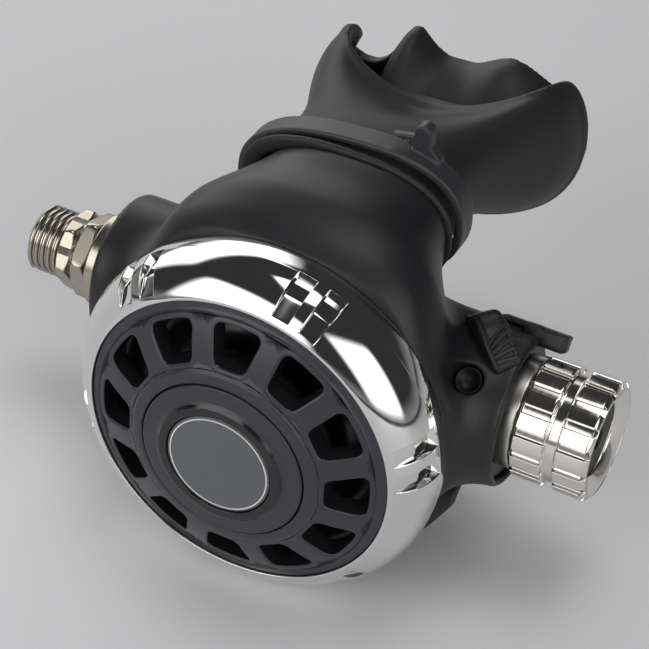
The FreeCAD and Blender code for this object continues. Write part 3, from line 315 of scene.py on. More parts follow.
def along(at, stations, values):
    # smooth curve through values at rising stations
    stations, values = np.asarray(stations, float), np.asarray(values, float)
    slopes = np.gradient(values, stations)
    index = np.clip(np.searchsorted(stations, at) - 1, 0, len(stations) - 2)
    step = stations[index + 1] - stations[index]
    t = np.clip((at - stations[index]) / step, 0, 1)
    a, b = values[index], values[index + 1]
    return ((2 * t ** 3 - 3 * t ** 2 + 1) * a + (t ** 3 - 2 * t ** 2 + t) * step * slopes[index]
            + (3 * t ** 2 - 2 * t ** 3) * b + (t ** 3 - t ** 2) * step * slopes[index + 1])


def skinField(name, field, n, material):
    # closed skin where a field is zero: one vertex in each cell that the surface crosses,
    # evened out and then drawn onto the surface; share thins the result
    cell = n.cell
    low = np.array(n.lowCorner, float) - 1.5 * cell
    counts = np.ceil((np.array(n.highCorner, float) + 1.5 * cell - low) / cell).astype(int) + 1
    lines = [low[i] + cell * np.arange(counts[i]) for i in range(3)]
    values = field(lines[0][:, None, None], lines[1][None, :, None], lines[2][None, None, :])
    values = np.broadcast_to(values, counts)
    cells = counts - 1
    sums = np.zeros((np.prod(cells), 3))
    hits = np.zeros(np.prod(cells))
    quads = []
    for axis in range(3):
        first = [slice(None)] * 3
        second = [slice(None)] * 3
        first[axis], second[axis] = slice(0, -1), slice(1, None)
        a, b = values[tuple(first)], values[tuple(second)]
        where = np.array(np.nonzero((a < 0) != (b < 0))).T
        start, end = a[tuple(where.T)], b[tuple(where.T)]
        point = where * 1.0
        point[:, axis] += start / (start - end)
        u, v = [i for i in range(3) if i != axis]
        corners = []
        for du, dv in ((0, 0), (-1, 0), (-1, -1), (0, -1)):
            at = where.copy()
            at[:, u] += du
            at[:, v] += dv
            index = np.ravel_multi_index(at.T, cells)
            hits += np.bincount(index, minlength=len(hits))
            for k in range(3):
                sums[:, k] += np.bincount(index, point[:, k], minlength=len(hits))
            corners.append(index)
        quad = np.array(corners).T
        flip = (start < 0) == (axis == 1)
        quad[flip] = quad[flip][:, ::-1]
        quads.append(quad)
    quads = np.concatenate(quads)
    used, quads = np.unique(quads, return_inverse=True)
    quads = quads.reshape(-1, 4)
    points = low + cell * sums[used] / hits[used][:, None]

    def settle(points):
        reach = cell * 0.05
        for _ in range(2):
            here = field(points[:, 0], points[:, 1], points[:, 2])
            slope = np.empty_like(points)
            for k in range(3):
                moved = points.copy()
                moved[:, k] += reach
                slope[:, k] = (field(moved[:, 0], moved[:, 1], moved[:, 2]) - here) / reach
            step = here / np.maximum((slope ** 2).sum(1), 1e-3)
            points = points - np.clip(step[:, None] * slope, -cell * 0.5, cell * 0.5)
        return points

    points = settle(points)
    count = np.zeros(len(points))
    for k in range(4):
        count += np.bincount(quads[:, k], minlength=len(points)) * 2
    for _ in range(2):
        total = np.zeros_like(points)
        for k in range(4):
            for other in (quads[:, (k + 1) % 4], quads[:, (k + 3) % 4]):
                for axis in range(3):
                    total[:, axis] += np.bincount(quads[:, k], points[other, axis],
                                                  minlength=len(points))
        points = settle(points * 0.5 + total / count[:, None] * 0.5)
    piece = addPiece(name, points, quads, material)
    thin = piece.modifiers.new("thin", "DECIMATE")
    thin.ratio = n.share
    applyModifiers(piece)
    print(name, len(piece.data.polygons), "faces")
    return piece


# outlines and lathe work

def roundedOutline(points, steps=4):
    # closed outline with an arc at each corner that has a radius, and a line beside each arc
    result = []
    for index, point in enumerate(points):
        here = np.array(point[:2], float)
        if len(point) < 3 or not point[2]:
            result.append(here)
            continue
        before = np.array(points[index - 1][:2], float) - here
        after = np.array(points[(index + 1) % len(points)][:2], float) - here
        lengthBefore, lengthAfter = np.linalg.norm(before), np.linalg.norm(after)
        before, after = before / lengthBefore, after / lengthAfter
        angle = math.acos(np.clip(before @ after, -1, 1))
        reach = min(point[2] / math.tan(angle / 2), lengthBefore * 0.45, lengthAfter * 0.45)
        radius = reach * math.tan(angle / 2)
        middle = (before + after) / np.linalg.norm(before + after) * radius / math.sin(angle / 2)
        start, end = before * reach - middle, after * reach - middle
        turn = math.atan2(start[0] * end[1] - start[1] * end[0], start @ end)
        result.append(here + before * min(reach * 1.5 + 0.02, lengthBefore * 0.49))
        for step in range(steps + 1):
            a = turn * step / steps
            arm = np.array([start[0] * math.cos(a) - start[1] * math.sin(a),
                            start[0] * math.sin(a) + start[1] * math.cos(a)])
            result.append(here + middle + arm)
        result.append(here + after * min(reach * 1.5 + 0.02, lengthAfter * 0.49))
    return result


def spun(axis, distance, radius, angle):
    # point at an angle round the X or Y axis; the angle starts at +X or +Y and goes to +Z
    if axis == "y":
        return (radius * math.cos(angle), distance, radius * math.sin(angle))
    return (distance, radius * math.cos(angle), radius * math.sin(angle))


def lathe(name, axis, outline, material, steps=128):
    # outline points are (distance along the axis, radius); radius 0 closes at a pole
    vertices, rows = [], []
    for distance, radius in outline:
        if radius < 1e-6:
            rows.append([len(vertices)] * steps)
            vertices.append(spun(axis, distance, 0, 0))
        else:
            rows.append(list(range(len(vertices), len(vertices) + steps)))
            vertices += [spun(axis, distance, radius, 2 * math.pi * k / steps)
                         for k in range(steps)]
    faces = []
    for i, a in enumerate(rows):
        b = rows[(i + 1) % len(rows)]
        for k in range(steps):
            face = []
            for corner in (a[k], a[(k + 1) % steps], b[(k + 1) % steps], b[k]):
                if corner not in face:
                    face.append(corner)
            if len(face) > 2:
                faces.append(face)
    piece = addPiece(name, vertices, faces, material)
    faceOutwards(piece)
    return piece


# trees for what repeats

def newTree(name, inputs):
    # tree with its named inputs, each with its kind of socket
    tree = bpy.data.node_groups.new(name, "GeometryNodeTree")
    for label, kind in inputs.items():
        tree.interface.new_socket(label, in_out="INPUT", socket_type="NodeSocket" + kind)
    tree.interface.new_socket("Geometry", in_out="OUTPUT", socket_type="NodeSocketGeometry")
    return tree, addNode(tree, "NodeGroupInput").outputs


def closeTree(tree, geometry, material):
    painted = addNode(tree, "GeometryNodeSetMaterial",
                      links={"Geometry": geometry, "Material": material})
    addNode(tree, "NodeGroupOutput", links={"Geometry": painted.outputs[0]})
    return tree


def runTree(piece, tree, inputs):
    # what the tree gives becomes the piece's mesh; an input goes by its socket's identifier
    modifier = piece.modifiers.new(tree.name, "NODES")
    modifier.node_group = tree
    for socket in tree.interface.items_tree:
        if socket.in_out == "INPUT" and socket.name in inputs:
            modifier[socket.identifier] = inputs[socket.name]
    applyModifiers(piece)
    print(piece.name, len(piece.data.polygons), "faces")


def repeatTree():
    # repeats a segment round an axis and joins the copies where they touch
    tree, given = newTree("segmentRing", {
        "Segment": "Geometry", "Count": "Int", "Axis": "Vector", "Join distance": "Float",
        "Material": "Material"})
    points = addNode(tree, "GeometryNodePoints", links={"Count": given["Count"]})
    index = addNode(tree, "GeometryNodeInputIndex")
    share = addNode(tree, "ShaderNodeMath", settings={"operation": "DIVIDE"},
                    links={0: index.outputs[0], 1: given["Count"]})
    angle = addNode(tree, "ShaderNodeMath", settings={"operation": "MULTIPLY"},
                    values={1: 2 * math.pi}, links={0: share.outputs[0]})
    turn = addNode(tree, "FunctionNodeAxisAngleToRotation",
                   links={"Axis": given["Axis"], "Angle": angle.outputs[0]})
    copies = addNode(tree, "GeometryNodeInstanceOnPoints",
                     links={"Points": points.outputs[0], "Instance": given["Segment"],
                            "Rotation": turn.outputs[0]})
    real = addNode(tree, "GeometryNodeRealizeInstances", links={"Geometry": copies.outputs[0]})
    merged = addNode(tree, "GeometryNodeMergeByDistance",
                     links={"Geometry": real.outputs[0], "Distance": given["Join distance"]})
    return closeTree(tree, merged.outputs[0], given["Material"])


segmentRing = repeatTree()


def ringOf(name, vertices, faces, axis, count, material):
    # a whole piece from one segment, built round the origin and then lifted
    piece = addPiece(name, vertices, faces, material)
    piece.data.transform(Matrix.Translation((0, 0, -axisHeight)))
    runTree(piece, segmentRing, {
        "Count": count, "Axis": (0.0, -1.0, 0.0) if axis == "y" else (1.0, 0.0, 0.0),
        "Join distance": 0.000004, "Material": material})
    piece.data.transform(Matrix.Translation((0, 0, axisHeight)))
    faceOutwards(piece)
    return piece


def turnedSegment(axis, outline, angles, cuts):
    # one sector of a turned piece. outline points are (distance, radius, depth of the cut
    # there) and cuts gives how much of that depth is taken at each angle
    vertices = [spun(axis, distance, radius - depth * share, math.radians(angle))
                for distance, radius, depth in outline for angle, share in zip(angles, cuts)]
    return vertices, gridFaces(len(outline), len(angles), closedRows=True)


def windowAngles(half, windows, edge, gap):
    # angles over a sector, close together at the sides of each cut, and the share cut there
    angles = {}
    for middle, width in windows:
        for side in (-1, 1):
            wall = middle + side * width / 2
            for step, share in ((-1.2, 1), (-0.5, 1), (-0.3, 0.85), (0, 0.5), (0.3, 0.15),
                                (0.5, 0), (1.2, 0)):
                angles[round(wall + side * step * edge, 5)] = share
    marks = sorted(angles)
    for value in np.arange(-half, half + 1e-6, gap):
        if all(abs(value - mark) > gap * 0.4 for mark in marks):
            inside = any(abs(value - middle) < width / 2 for middle, width in windows)
            angles[round(float(value), 5)] = 1 if inside else 0
    angles[-half] = angles[half] = 0
    ordered = sorted(angles)
    return ordered, [angles[angle] for angle in ordered]


# front ring: chromed brass with six pairs of notches

ringSizes = {
    "radius": 37.7, "widestAt": -26.9, "backRadius": 36.9, "backAt": -21.6,
    "faceRadius": 32.1, "faceAt": -36.0, "lipRadius": 31.45, "lipAt": -36.05,
    "boreRadius": 34.6, "stepAt": -31.4, "curve": 10.6, "curveSteps": 30, "backBulge": 0.125,
    "notchFloorBack": 35.9, "notchFloorMiddle": 35.4, "notchFloorFront": 32.7,
    "notchEnd": -26.7, "notchWidth": 6.0, "notchSpread": 5.0, "firstNotch": 12.0,
    "groups": 6,
}


def makeRing(sizes):
    n = SimpleNamespace(**sizes)
    # front of the section: an arc from the face to the widest place
    a, b = np.array([n.faceAt, n.faceRadius]), np.array([n.widestAt, n.radius])
    chord = b - a
    lift = math.sqrt(n.curve ** 2 - (chord @ chord) / 4)
    normal = np.array([chord[1], -chord[0]]) / np.linalg.norm(chord)
    centre = (a + b) / 2 + normal * lift
    start = math.atan2(*(a - centre)[::-1])
    end = math.atan2(*(b - centre)[::-1])
    outline = [(n.lipAt + 0.5, n.lipRadius), (n.lipAt + 0.12, n.lipRadius),
               (n.lipAt + 0.04, n.lipRadius + 0.04), (n.lipAt, n.lipRadius + 0.12),
               (n.lipAt, n.lipRadius + 0.3), (n.lipAt, n.faceRadius - 0.12)]
    outline += [(centre[0] + n.curve * math.cos(start + (end - start) * t),
                 centre[1] + n.curve * math.sin(start + (end - start) * t))
                for t in np.linspace(0, 1, n.curveSteps)]
    outline += [(n.notchEnd + shift, n.radius - drop)
                for shift, drop in ((-0.12, 0.02), (-0.04, 0.03), (0.04, 0.03), (0.12, 0.03))]
    outline += [(n.notchEnd + (n.backAt - n.notchEnd) * t,
                 n.radius + (n.backRadius - n.radius) * t + n.backBulge * math.sin(math.pi * t))
                for t in np.linspace(0.15, 1, 8)]
    outline += [(n.backAt, n.backRadius - 0.3), (n.backAt, n.boreRadius),
                (n.stepAt, n.boreRadius), (n.stepAt, n.lipRadius)]
    # the notches reach from the face to their end, and leave the step inside alone
    cut = []
    for distance, radius in outline:
        floor = float(np.interp(distance, [n.lipAt, n.stepAt, n.notchEnd],
                                [n.notchFloorFront, n.notchFloorMiddle, n.notchFloorBack]))
        inStep = distance >= n.stepAt - 1e-6 and radius <= n.boreRadius
        outside = distance < n.notchEnd - 0.02 and radius > n.faceRadius + 0.3
        cut.append((distance, radius, max(radius - floor, 0) if outside and not inStep else 0.0))
    windows = [(side * n.notchSpread, n.notchWidth) for side in (-1, 1)]
    angles, shares = windowAngles(180 / n.groups, windows, 0.22, 1.5)
    vertices, faces = turnedSegment("y", cut, [a + n.firstNotch for a in angles], shares)
    return ringOf("frontRing", vertices, faces, "y", n.groups, ringChrome)


finish(makeRing(ringSizes), "housing", "front_ring")


# purge cover: one twelfth with its window, repeated

coverSizes = {
    "windows": 12, "windowIn": 20.6, "windowOut": 28.2, "spokeHalf": 2.45, "corner": 1.5,
    "windowMiddle": 24.6, "frameIn": 19.95, "frameOut": 29.3,
    "hubBore": 17.1, "hubFront": -41.7, "edgeRadius": 30.6, "edgeAt": -35.9, "bulge": 0.61,
    "hubEdge": 19.2, "hubStep": 0.3, "fillet": 0.5, "depth": 4.3, "draft": 0.35,
    "rimRadius": 31.36, "flangeRadius": 34.3, "flangeFront": -30.8, "flangeBack": -29.2,
    "webFront": -33.0, "webBack": -31.8, "postBore": 7.3,
    "hubRows": (19.7, 19.55, 19.4, 19.25, 19.1, 18.6), "rimRows": (30.0, 30.4),
    # window walls between these radii and steeper than this slope get gloss and painted shade
    "shineIn": 20.0, "shineOut": 28.8, "shineSlope": 0.45,
}


def makeCover(sizes):
    n = SimpleNamespace(**sizes)
    half = math.pi / n.windows

    def front(radius):
        # height of the domed face, with the hub's low step
        t = (radius - n.hubBore) / (n.edgeRadius - n.hubBore)
        level = n.hubFront + (n.edgeAt - n.hubFront) * t - 4 * n.bulge * t * (1 - t)
        return level + n.hubStep * ease((radius - n.hubEdge) / 0.5)

    def windowField(u, v):
        radius = np.hypot(u, v)
        side = (np.abs(v) - (u * math.tan(half) - n.spokeHalf)) * math.cos(half)
        ends = roundBoth(radius - n.windowOut, side, n.corner)
        return roundBoth(ends, n.windowIn - u, n.corner * 0.7)

    def frameField(u, v):
        radius = np.hypot(u, v)
        return max(radius - n.frameOut, n.frameIn - radius,
                   abs(v) * math.cos(half) - u * math.sin(half))

    def reach(field, level, ray):
        # where a ray from the window's middle meets a level of a field
        low, high = 0.05, 12.0
        for _ in range(40):
            middle = (low + high) / 2
            if field(n.windowMiddle + middle * math.cos(ray), middle * math.sin(ray)) < level:
                low = middle
            else:
                high = middle
        return n.windowMiddle + low * math.cos(ray), low * math.sin(ray)

    corners = [math.atan2(r * math.sin(half), r * math.cos(half) - n.windowMiddle)
               for r in (n.frameIn, n.frameOut)]
    marks = [0, corners[1], corners[0], math.pi]
    rays = []
    for start, end, steps in zip(marks, marks[1:], (9, 12, 9)):
        rays += list(np.linspace(start, end, steps, endpoint=False))
    rays = rays + [math.pi] + [-ray for ray in rays[:0:-1]]
    # each loop lies at a distance from the window's edge and at a depth below the face
    levels = [(1.0, 0.0), (n.fillet + 0.1, 0.0)]
    for a in np.radians([0, 22, 45, 68, 90]):
        levels.append((n.fillet * (1 - math.sin(a)), n.fillet * (1 - math.cos(a))))
    levels += [(-0.02, n.fillet + 0.3), (-n.draft * 0.5, n.depth * 0.6),
               (-n.draft, n.depth - 0.4), (-n.draft + 0.15, n.depth - 0.1), (0.3, n.depth)]
    frameLoop = [reach(frameField, 0, ray) for ray in rays]
    loops = [(frameLoop, 0.0)]
    loops += [([reach(windowField, level, ray) for ray in rays], drop) for level, drop in levels]
    loops += [(frameLoop, n.depth)]
    vertices = [(u, front(math.hypot(u, v)) + drop, v) for loop, drop in loops for u, v in loop]
    faces = gridFaces(len(loops), len(rays), closedColumns=True)
    # hub and rim strips carry on from the frame's inner and outer arcs
    bore, edge = n.hubBore, n.edgeRadius
    hub = [(r, front(r)) for r in (n.frameIn, *n.hubRows, bore + 0.5)]
    hub += [(bore + 0.25, front(bore + 0.5) + 0.03), (bore + 0.08, n.hubFront + 0.15),
            (bore, n.hubFront + 0.35), (bore, n.webFront), (n.postBore, n.webFront),
            (n.postBore, n.webBack), (bore + 1.5, n.webBack), (n.frameIn, front(n.frameIn) + n.depth)]
    rim = [(r, front(r)) for r in (n.frameOut, *n.rimRows)]
    rim += [(31.0, front(edge) - 0.02), (31.2, front(edge) + 0.03),
            (n.rimRadius - 0.04, front(edge) + 0.12), (n.rimRadius, front(edge) + 0.3),
            (n.rimRadius, n.flangeFront), (n.flangeRadius, n.flangeFront),
            (n.flangeRadius, n.flangeBack), (29.6, n.flangeBack),
            (n.frameOut, front(n.frameOut) + n.depth)]
    for strip, order in ((hub, -1), (rim, 1)):
        angles = sorted(math.atan2(v, u) for u, v in frameLoop
                        if abs(math.hypot(u, v) - strip[0][0]) < 1e-3)
        quads = gridFaces(len(strip), len(angles), first=len(vertices))
        faces += [quad[::order] for quad in quads]
        vertices += [(radius * math.cos(a), level, radius * math.sin(a))
                     for radius, level in strip for a in angles]
    return ringOf("purgeCover", vertices, faces, "y", n.windows, coverPlastic)


def glossAndShadeOnWindowWalls(radius, distance, normal):
    # the windows' walls shine, as they come off a polished core, and take the button's darker black, which
    # is painted shade in the deep windows
    n = SimpleNamespace(**coverSizes)
    return n.shineIn < radius < n.shineOut and normal < n.shineSlope


# the window walls get gloss and a darker colour that is painted shade
finish(paintFaces(makeCover(coverSizes), glossPlastic, glossAndShadeOnWindowWalls), "housing", "purge_cover")


# purge button with its dish, and the plain disc in it

buttonSizes = {
    "rim": 16.8, "rimAt": -41.8, "crest": 12.6, "crestAt": -43.1, "dish": 10.9, "dishAt": -42.25,
    "back": -40.2, "skirtEnd": -37.4, "skirtIn": 15.4, "post": 7.0, "postCore": 4.0,
    "postEnd": -27.9, "badge": 10.75, "badgeFront": -42.95, "badgeMiddle": -43.15,
}


def makeButton(sizes):
    n = SimpleNamespace(**sizes)
    outline = roundedOutline([
        (n.dishAt, 0), (n.dishAt, n.dish, 0.1), (n.crestAt - 0.02, n.dish + 0.15, 0.25),
        (n.crestAt + 0.05, n.crest, 0.5), (n.rimAt - 0.35, n.crest + 1.0, 1.2),
        (n.rimAt, n.rim, 0.35),
        (n.skirtEnd, n.rim), (n.skirtEnd, n.skirtIn), (n.back, n.skirtIn),
        (n.back, n.post), (n.postEnd, n.post, 0.3), (n.postEnd, n.postCore),
        (n.back, n.postCore), (n.back, 0)], 6)
    button = lathe("purgeButton", "y", outline, coverPlastic, 160)

    def inDish(radius, distance, normal):
        # the dish and its bevel are polished
        return radius < n.crest + 0.6 and distance < n.dishAt + 0.3

    return paintFaces(button, glossPlastic, inDish)


def makeBadge(sizes):
    n = SimpleNamespace(**sizes)
    # the face is a shallow dome
    outline = [(n.badgeMiddle, 0)]
    outline += [(n.badgeMiddle + (n.badgeFront - n.badgeMiddle) * t * t, (n.badge - 0.25) * t)
                for t in np.linspace(0.1, 1, 12)]
    outline += [(n.badgeFront + 0.04, n.badge - 0.1), (n.badgeFront + 0.15, n.badge),
                (n.dishAt, n.badge), (n.dishAt, 0)]
    return lathe("badgeDisc", "y", outline, badgeFace, 160)


finish(makeButton(buttonSizes), "button", "purge_button")
finish(makeBadge(buttonSizes), "button", "purge_badge")


# membrane behind the windows, and the bead that the ring clamps

membraneSizes = {
    "bead": 34.3, "beadFront": -29.2, "beadBack": -26.8, "clampIn": 31.2, "thick": 0.5,
    "skirtAt": 27.5, "rollAt": 23.4, "rollDepth": 2.1, "flatAt": 19.5, "face": -27.6,
    "steps": 60,
}


def makeMembrane(sizes):
    n = SimpleNamespace(**sizes)
    # knots of the section: three keep the middle flat, the rest are the roll and the skirt
    knots = [(0, n.face), (8, n.face), (15, n.face), (n.flatAt, n.face),
             ((n.flatAt + n.rollAt) / 2, n.face + n.rollDepth * 0.55),
             (n.rollAt, n.face + n.rollDepth), (n.skirtAt - 1.2, n.face + 1.0),
             (n.skirtAt, n.face - 0.4), (n.clampIn, n.beadFront + 0.1)]
    radii = np.concatenate([[0], np.linspace(4, n.clampIn, n.steps)])
    front = [(float(along(r, *zip(*knots))), float(r)) for r in radii]
    outline = front + [(level + n.thick, radius) for level, radius in front[::-1]]
    membrane = lathe("membrane", "y", outline, membraneSilicone)
    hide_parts("diaphragm_membrane")
    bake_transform(membrane)
    inner = n.clampIn - 0.2
    bead = roundedOutline([(n.beadFront, inner, 0.2), (n.beadFront, n.bead, 0.3),
                           (n.beadBack, n.bead, 0.3), (n.beadBack, inner, 0.3)])
    finish(lathe("membraneBead", "y", bead, membraneSilicone), "housing")


makeMembrane(membraneSizes)


# case: round body, cross tube for the valve and oval mouth tube, run together

caseSizes = {
    "drumRadius": 36.8, "drumFront": -21.6, "drumDepth": 25.8, "drumPower": 2.35,
    "neckRadius": 34.3, "neckFront": -26.8, "neckBack": -20.0, "wall": 2.6, "cavity": 31.3,
    "crossRadius": 15.5, "crossLeft": -45.6, "crossRight": 43.0, "leftRound": 1.3,
    "rightRound": 0.9, "crossFillet": 7.0, "tubeFillet": 9.0, "frontFillet": 3.0,
    "filletRun": 13.0, "frontRadius": 36.85, "frontSlope": 1.6, "frontRound": 3.0,
    "tubeAt": [-21.6, -15, -9, -2, 4.6, 9], "tubeWide": [27.0, 25.2, 23.6, 21.4, 19.8, 19.7],
    "tubeShift": [0.0, 0.0, 0.3, 1.1, 2.0, 2.0],
    "tubeHigh": [13.6, 14.0, 13.8, 13.0, 12.5, 12.4],
    "tubeMiddle": [23.2, 24.8, 26.4, 27.9, 28.9, 28.9],
    "tubePower": 2.5, "tubeEnd": 4.6, "tubeLow": 16.5, "spigotWide": 18.9, "spigotHigh": 10.1,
    "spigotEnd": 15.0, "spigotHalf": 6.0, "edge": 0.5, "innerEdge": 0.35,
    "airWide": [18.0, 16.2], "airHigh": [10.5, 8.4], "airMiddle": [22.5, 28.9],
    "airFrom": -17.0, "barrel": 8.05, "sleeve": 9.8, "sleeveFrom": 16.0, "hub": 11.4,
    "hubEnd": 20.3, "recess": 14.2, "recessFrom": 38.3, "slotFrom": 9.0, "slotTo": 71.0,
    "slotRoot": 10.0, "slotDegree": 0.25,
    "pinAcross": 34.9, "pinAngle": 131.0, "pinHole": 3.0, "pinRoot": 11.2,
    "portAt": -9.6, "portRadius": 8.0, "portWall": 1.4, "portSeat": -25.7, "portSkirt": -28.9,
    "portTop": -14.0, "seatThick": 1.5, "skirtTop": -20.0,
    "lowCorner": (-48.4, -26.8, -37), "highCorner": (43, 15, 42.5), "cell": 0.62, "share": 0.6,
}


def drumField(x, y, z, radius, front, depth, power):
    rho = np.sqrt(x * x + z * z)
    back = np.maximum(y - front, 0)
    return (((rho / radius) ** power + (back / depth) ** power) ** (1 / power) - 1) * depth


def makeCase(sizes):
    n = SimpleNamespace(**sizes)

    def shape(x, y, z):
        rho = np.sqrt(x * x + z * z)
        drum = np.maximum(drumField(x, y, z, n.drumRadius, n.drumFront, n.drumDepth,
                                    n.drumPower), n.drumFront - y)
        around = np.sqrt(y * y + z * z)
        cross = roundBoth(around - n.crossRadius, n.crossLeft - x, n.leftRound)
        cross = roundBoth(cross, x - n.crossRight, n.rightRound)
        body = roundJoin(drum, cross, n.crossFillet)
        wide, high = along(y, n.tubeAt, n.tubeWide), along(y, n.tubeAt, n.tubeHigh)
        middle, shift = along(y, n.tubeAt, n.tubeMiddle), along(y, n.tubeAt, n.tubeShift)
        tube = ovalField(x - shift, z - middle, wide, high, n.tubePower)
        # the fillet opens out behind the ring, where drum and tube run level
        fillet = mixed((n.frontFillet, n.tubeFillet), ease((y - n.drumFront) / n.filletRun))
        body = roundJoin(body, np.maximum(tube, n.drumFront - y), fillet)
        # no lip where the ring's back edge meets the case
        limit = n.frontRadius + (y - n.drumFront) * n.frontSlope
        body = roundBoth(body, (rho - limit) / math.hypot(1, n.frontSlope), n.frontRound)
        # the tube ends square; below it the drum stays as it is
        body = roundBoth(body, (y - n.tubeEnd) + np.where(z > n.tubeLow, 0, -99.0), n.edge)
        spigot = ovalField(x, z - n.tubeMiddle[-1], n.spigotWide, n.spigotHigh, n.tubePower)
        spigot = roundBoth(spigot, np.abs(y - n.spigotEnd + n.spigotHalf) - n.spigotHalf, n.edge)
        neck = np.maximum(rho - n.neckRadius, np.maximum(n.neckFront - y, y - n.neckBack))
        pipe = np.sqrt(x * x + (y - n.portAt) ** 2) - n.portRadius
        skirt = np.maximum(pipe - n.portWall, between(z, n.portSkirt, n.skirtTop))
        for part in (spigot, neck, skirt):
            body = np.minimum(body, part)
        # hollows
        cavity = np.maximum(drumField(x, y, z, n.drumRadius - n.wall, n.drumFront,
                                      n.drumDepth - n.wall, n.drumPower), rho - n.cavity)
        t = np.clip((y - n.airFrom) / (n.spigotEnd - n.airFrom), 0, 1.1)
        air = ovalField(x, z - mixed(n.airMiddle, t), mixed(n.airWide, t), mixed(n.airHigh, t),
                        n.tubePower)
        hollow = roundJoin(cavity, np.maximum(air, n.airFrom - y), 1.0)
        angle = np.degrees(np.arctan2(z, y))
        inSlot = np.maximum(n.slotFrom - angle, angle - n.slotTo) * n.slotDegree
        a = math.radians(n.pinAngle)
        out = y * math.cos(a) + z * math.sin(a)
        side = np.sqrt((x - n.pinAcross) ** 2 + (z * math.cos(a) - y * math.sin(a)) ** 2)
        for part in (
                around - n.barrel,
                np.maximum(around - n.sleeve, n.sleeveFrom - x),
                np.maximum(around - n.hub, between(x, n.sleeveFrom, n.hubEnd) - 0.3),
                np.maximum(around - n.recess, n.recessFrom - x),
                np.maximum(np.maximum(inSlot, n.recessFrom - x), n.slotRoot - around),
                np.maximum(pipe, z - n.portSeat),
                np.maximum(pipe, np.maximum(n.portSeat + n.seatThick - z, z - n.portTop)),
                np.maximum(side - n.pinHole, n.pinRoot - out)):
            hollow = np.minimum(hollow, part)
        return roundBoth(body, -hollow, n.innerEdge)

    return skinField("caseBody", shape, n, casePlastic)


finish(makeCase(caseSizes), "housing", "case")


# bubble deflector under the case

teeSizes = {
    "at": [-35.0, -20.0, 0.0, 20.0, 35.0], "depth": [12.5, 15.4, 17.0, 15.4, 12.5],
    "high": [7.2, 8.6, 9.6, 8.6, 7.2], "middleY": [2.5, -1.2, -3.5, -1.2, 2.5],
    "middleZ": [-23.6, -26.8, -28.7, -26.8, -23.6], "wall": 1.8, "power": 2.5, "clear": 0.3,
    "endAt": 34.5, "endLevel": -21.0, "endTilt": 0.65, "edge": 0.4, "pastRing": 2.6,
    "floor": -37.7,
    "lowCorner": (-35, -21, -37.8), "highCorner": (35, 16, -14), "cell": 0.5, "share": 0.8,
}


def makeTee(sizes, case, ringRadius):
    n, c = SimpleNamespace(**sizes), SimpleNamespace(**case)

    def shape(x, y, z):
        depth, high = along(x, n.at, n.depth), along(x, n.at, n.high)
        middleY, middleZ = along(x, n.at, n.middleY), along(x, n.at, n.middleZ)
        outer = ovalField(y - middleY, z - middleZ, depth, high, n.power)
        inner = ovalField(y - middleY, z - middleZ, depth - n.wall, high - n.wall, n.power)
        # both ends are cut on a slope, so that the openings look out and down
        slope = np.abs(x) - n.endAt - n.endTilt * (z - n.endLevel)
        ends = np.maximum(slope / math.hypot(1, n.endTilt), np.abs(x) - n.endAt)
        tee = roundBoth(roundBoth(outer, -inner, n.edge), ends, n.edge)
        tee = roundBoth(tee, n.floor - z, 0.3)
        # it is hollowed to fit the case, the ring and the port's skirt
        drum = drumField(x, y, z, c.drumRadius, c.drumFront, c.drumDepth, c.drumPower)
        ring = np.maximum(np.sqrt(x * x + z * z) - ringRadius, y - c.drumFront - n.pastRing)
        cross = np.sqrt(y * y + z * z) - c.crossRadius
        carrier = np.minimum(roundJoin(drum, cross, c.crossFillet), ring) - n.clear
        skirt = np.maximum(np.sqrt(x * x + (y - c.portAt) ** 2) - c.portRadius
                           - c.portWall - n.clear, c.portSkirt - n.clear - z)
        return roundBoth(tee, -np.minimum(carrier, skirt), 0.3)

    return skinField("bubbleTee", shape, n, teePlastic)


finish(makeTee(teeSizes, caseSizes, ringSizes["radius"]), "housing", "exhaust_tee")


# mouthpiece: sleeve, neck and thin flared shield, with the bite tabs and the bridge in it

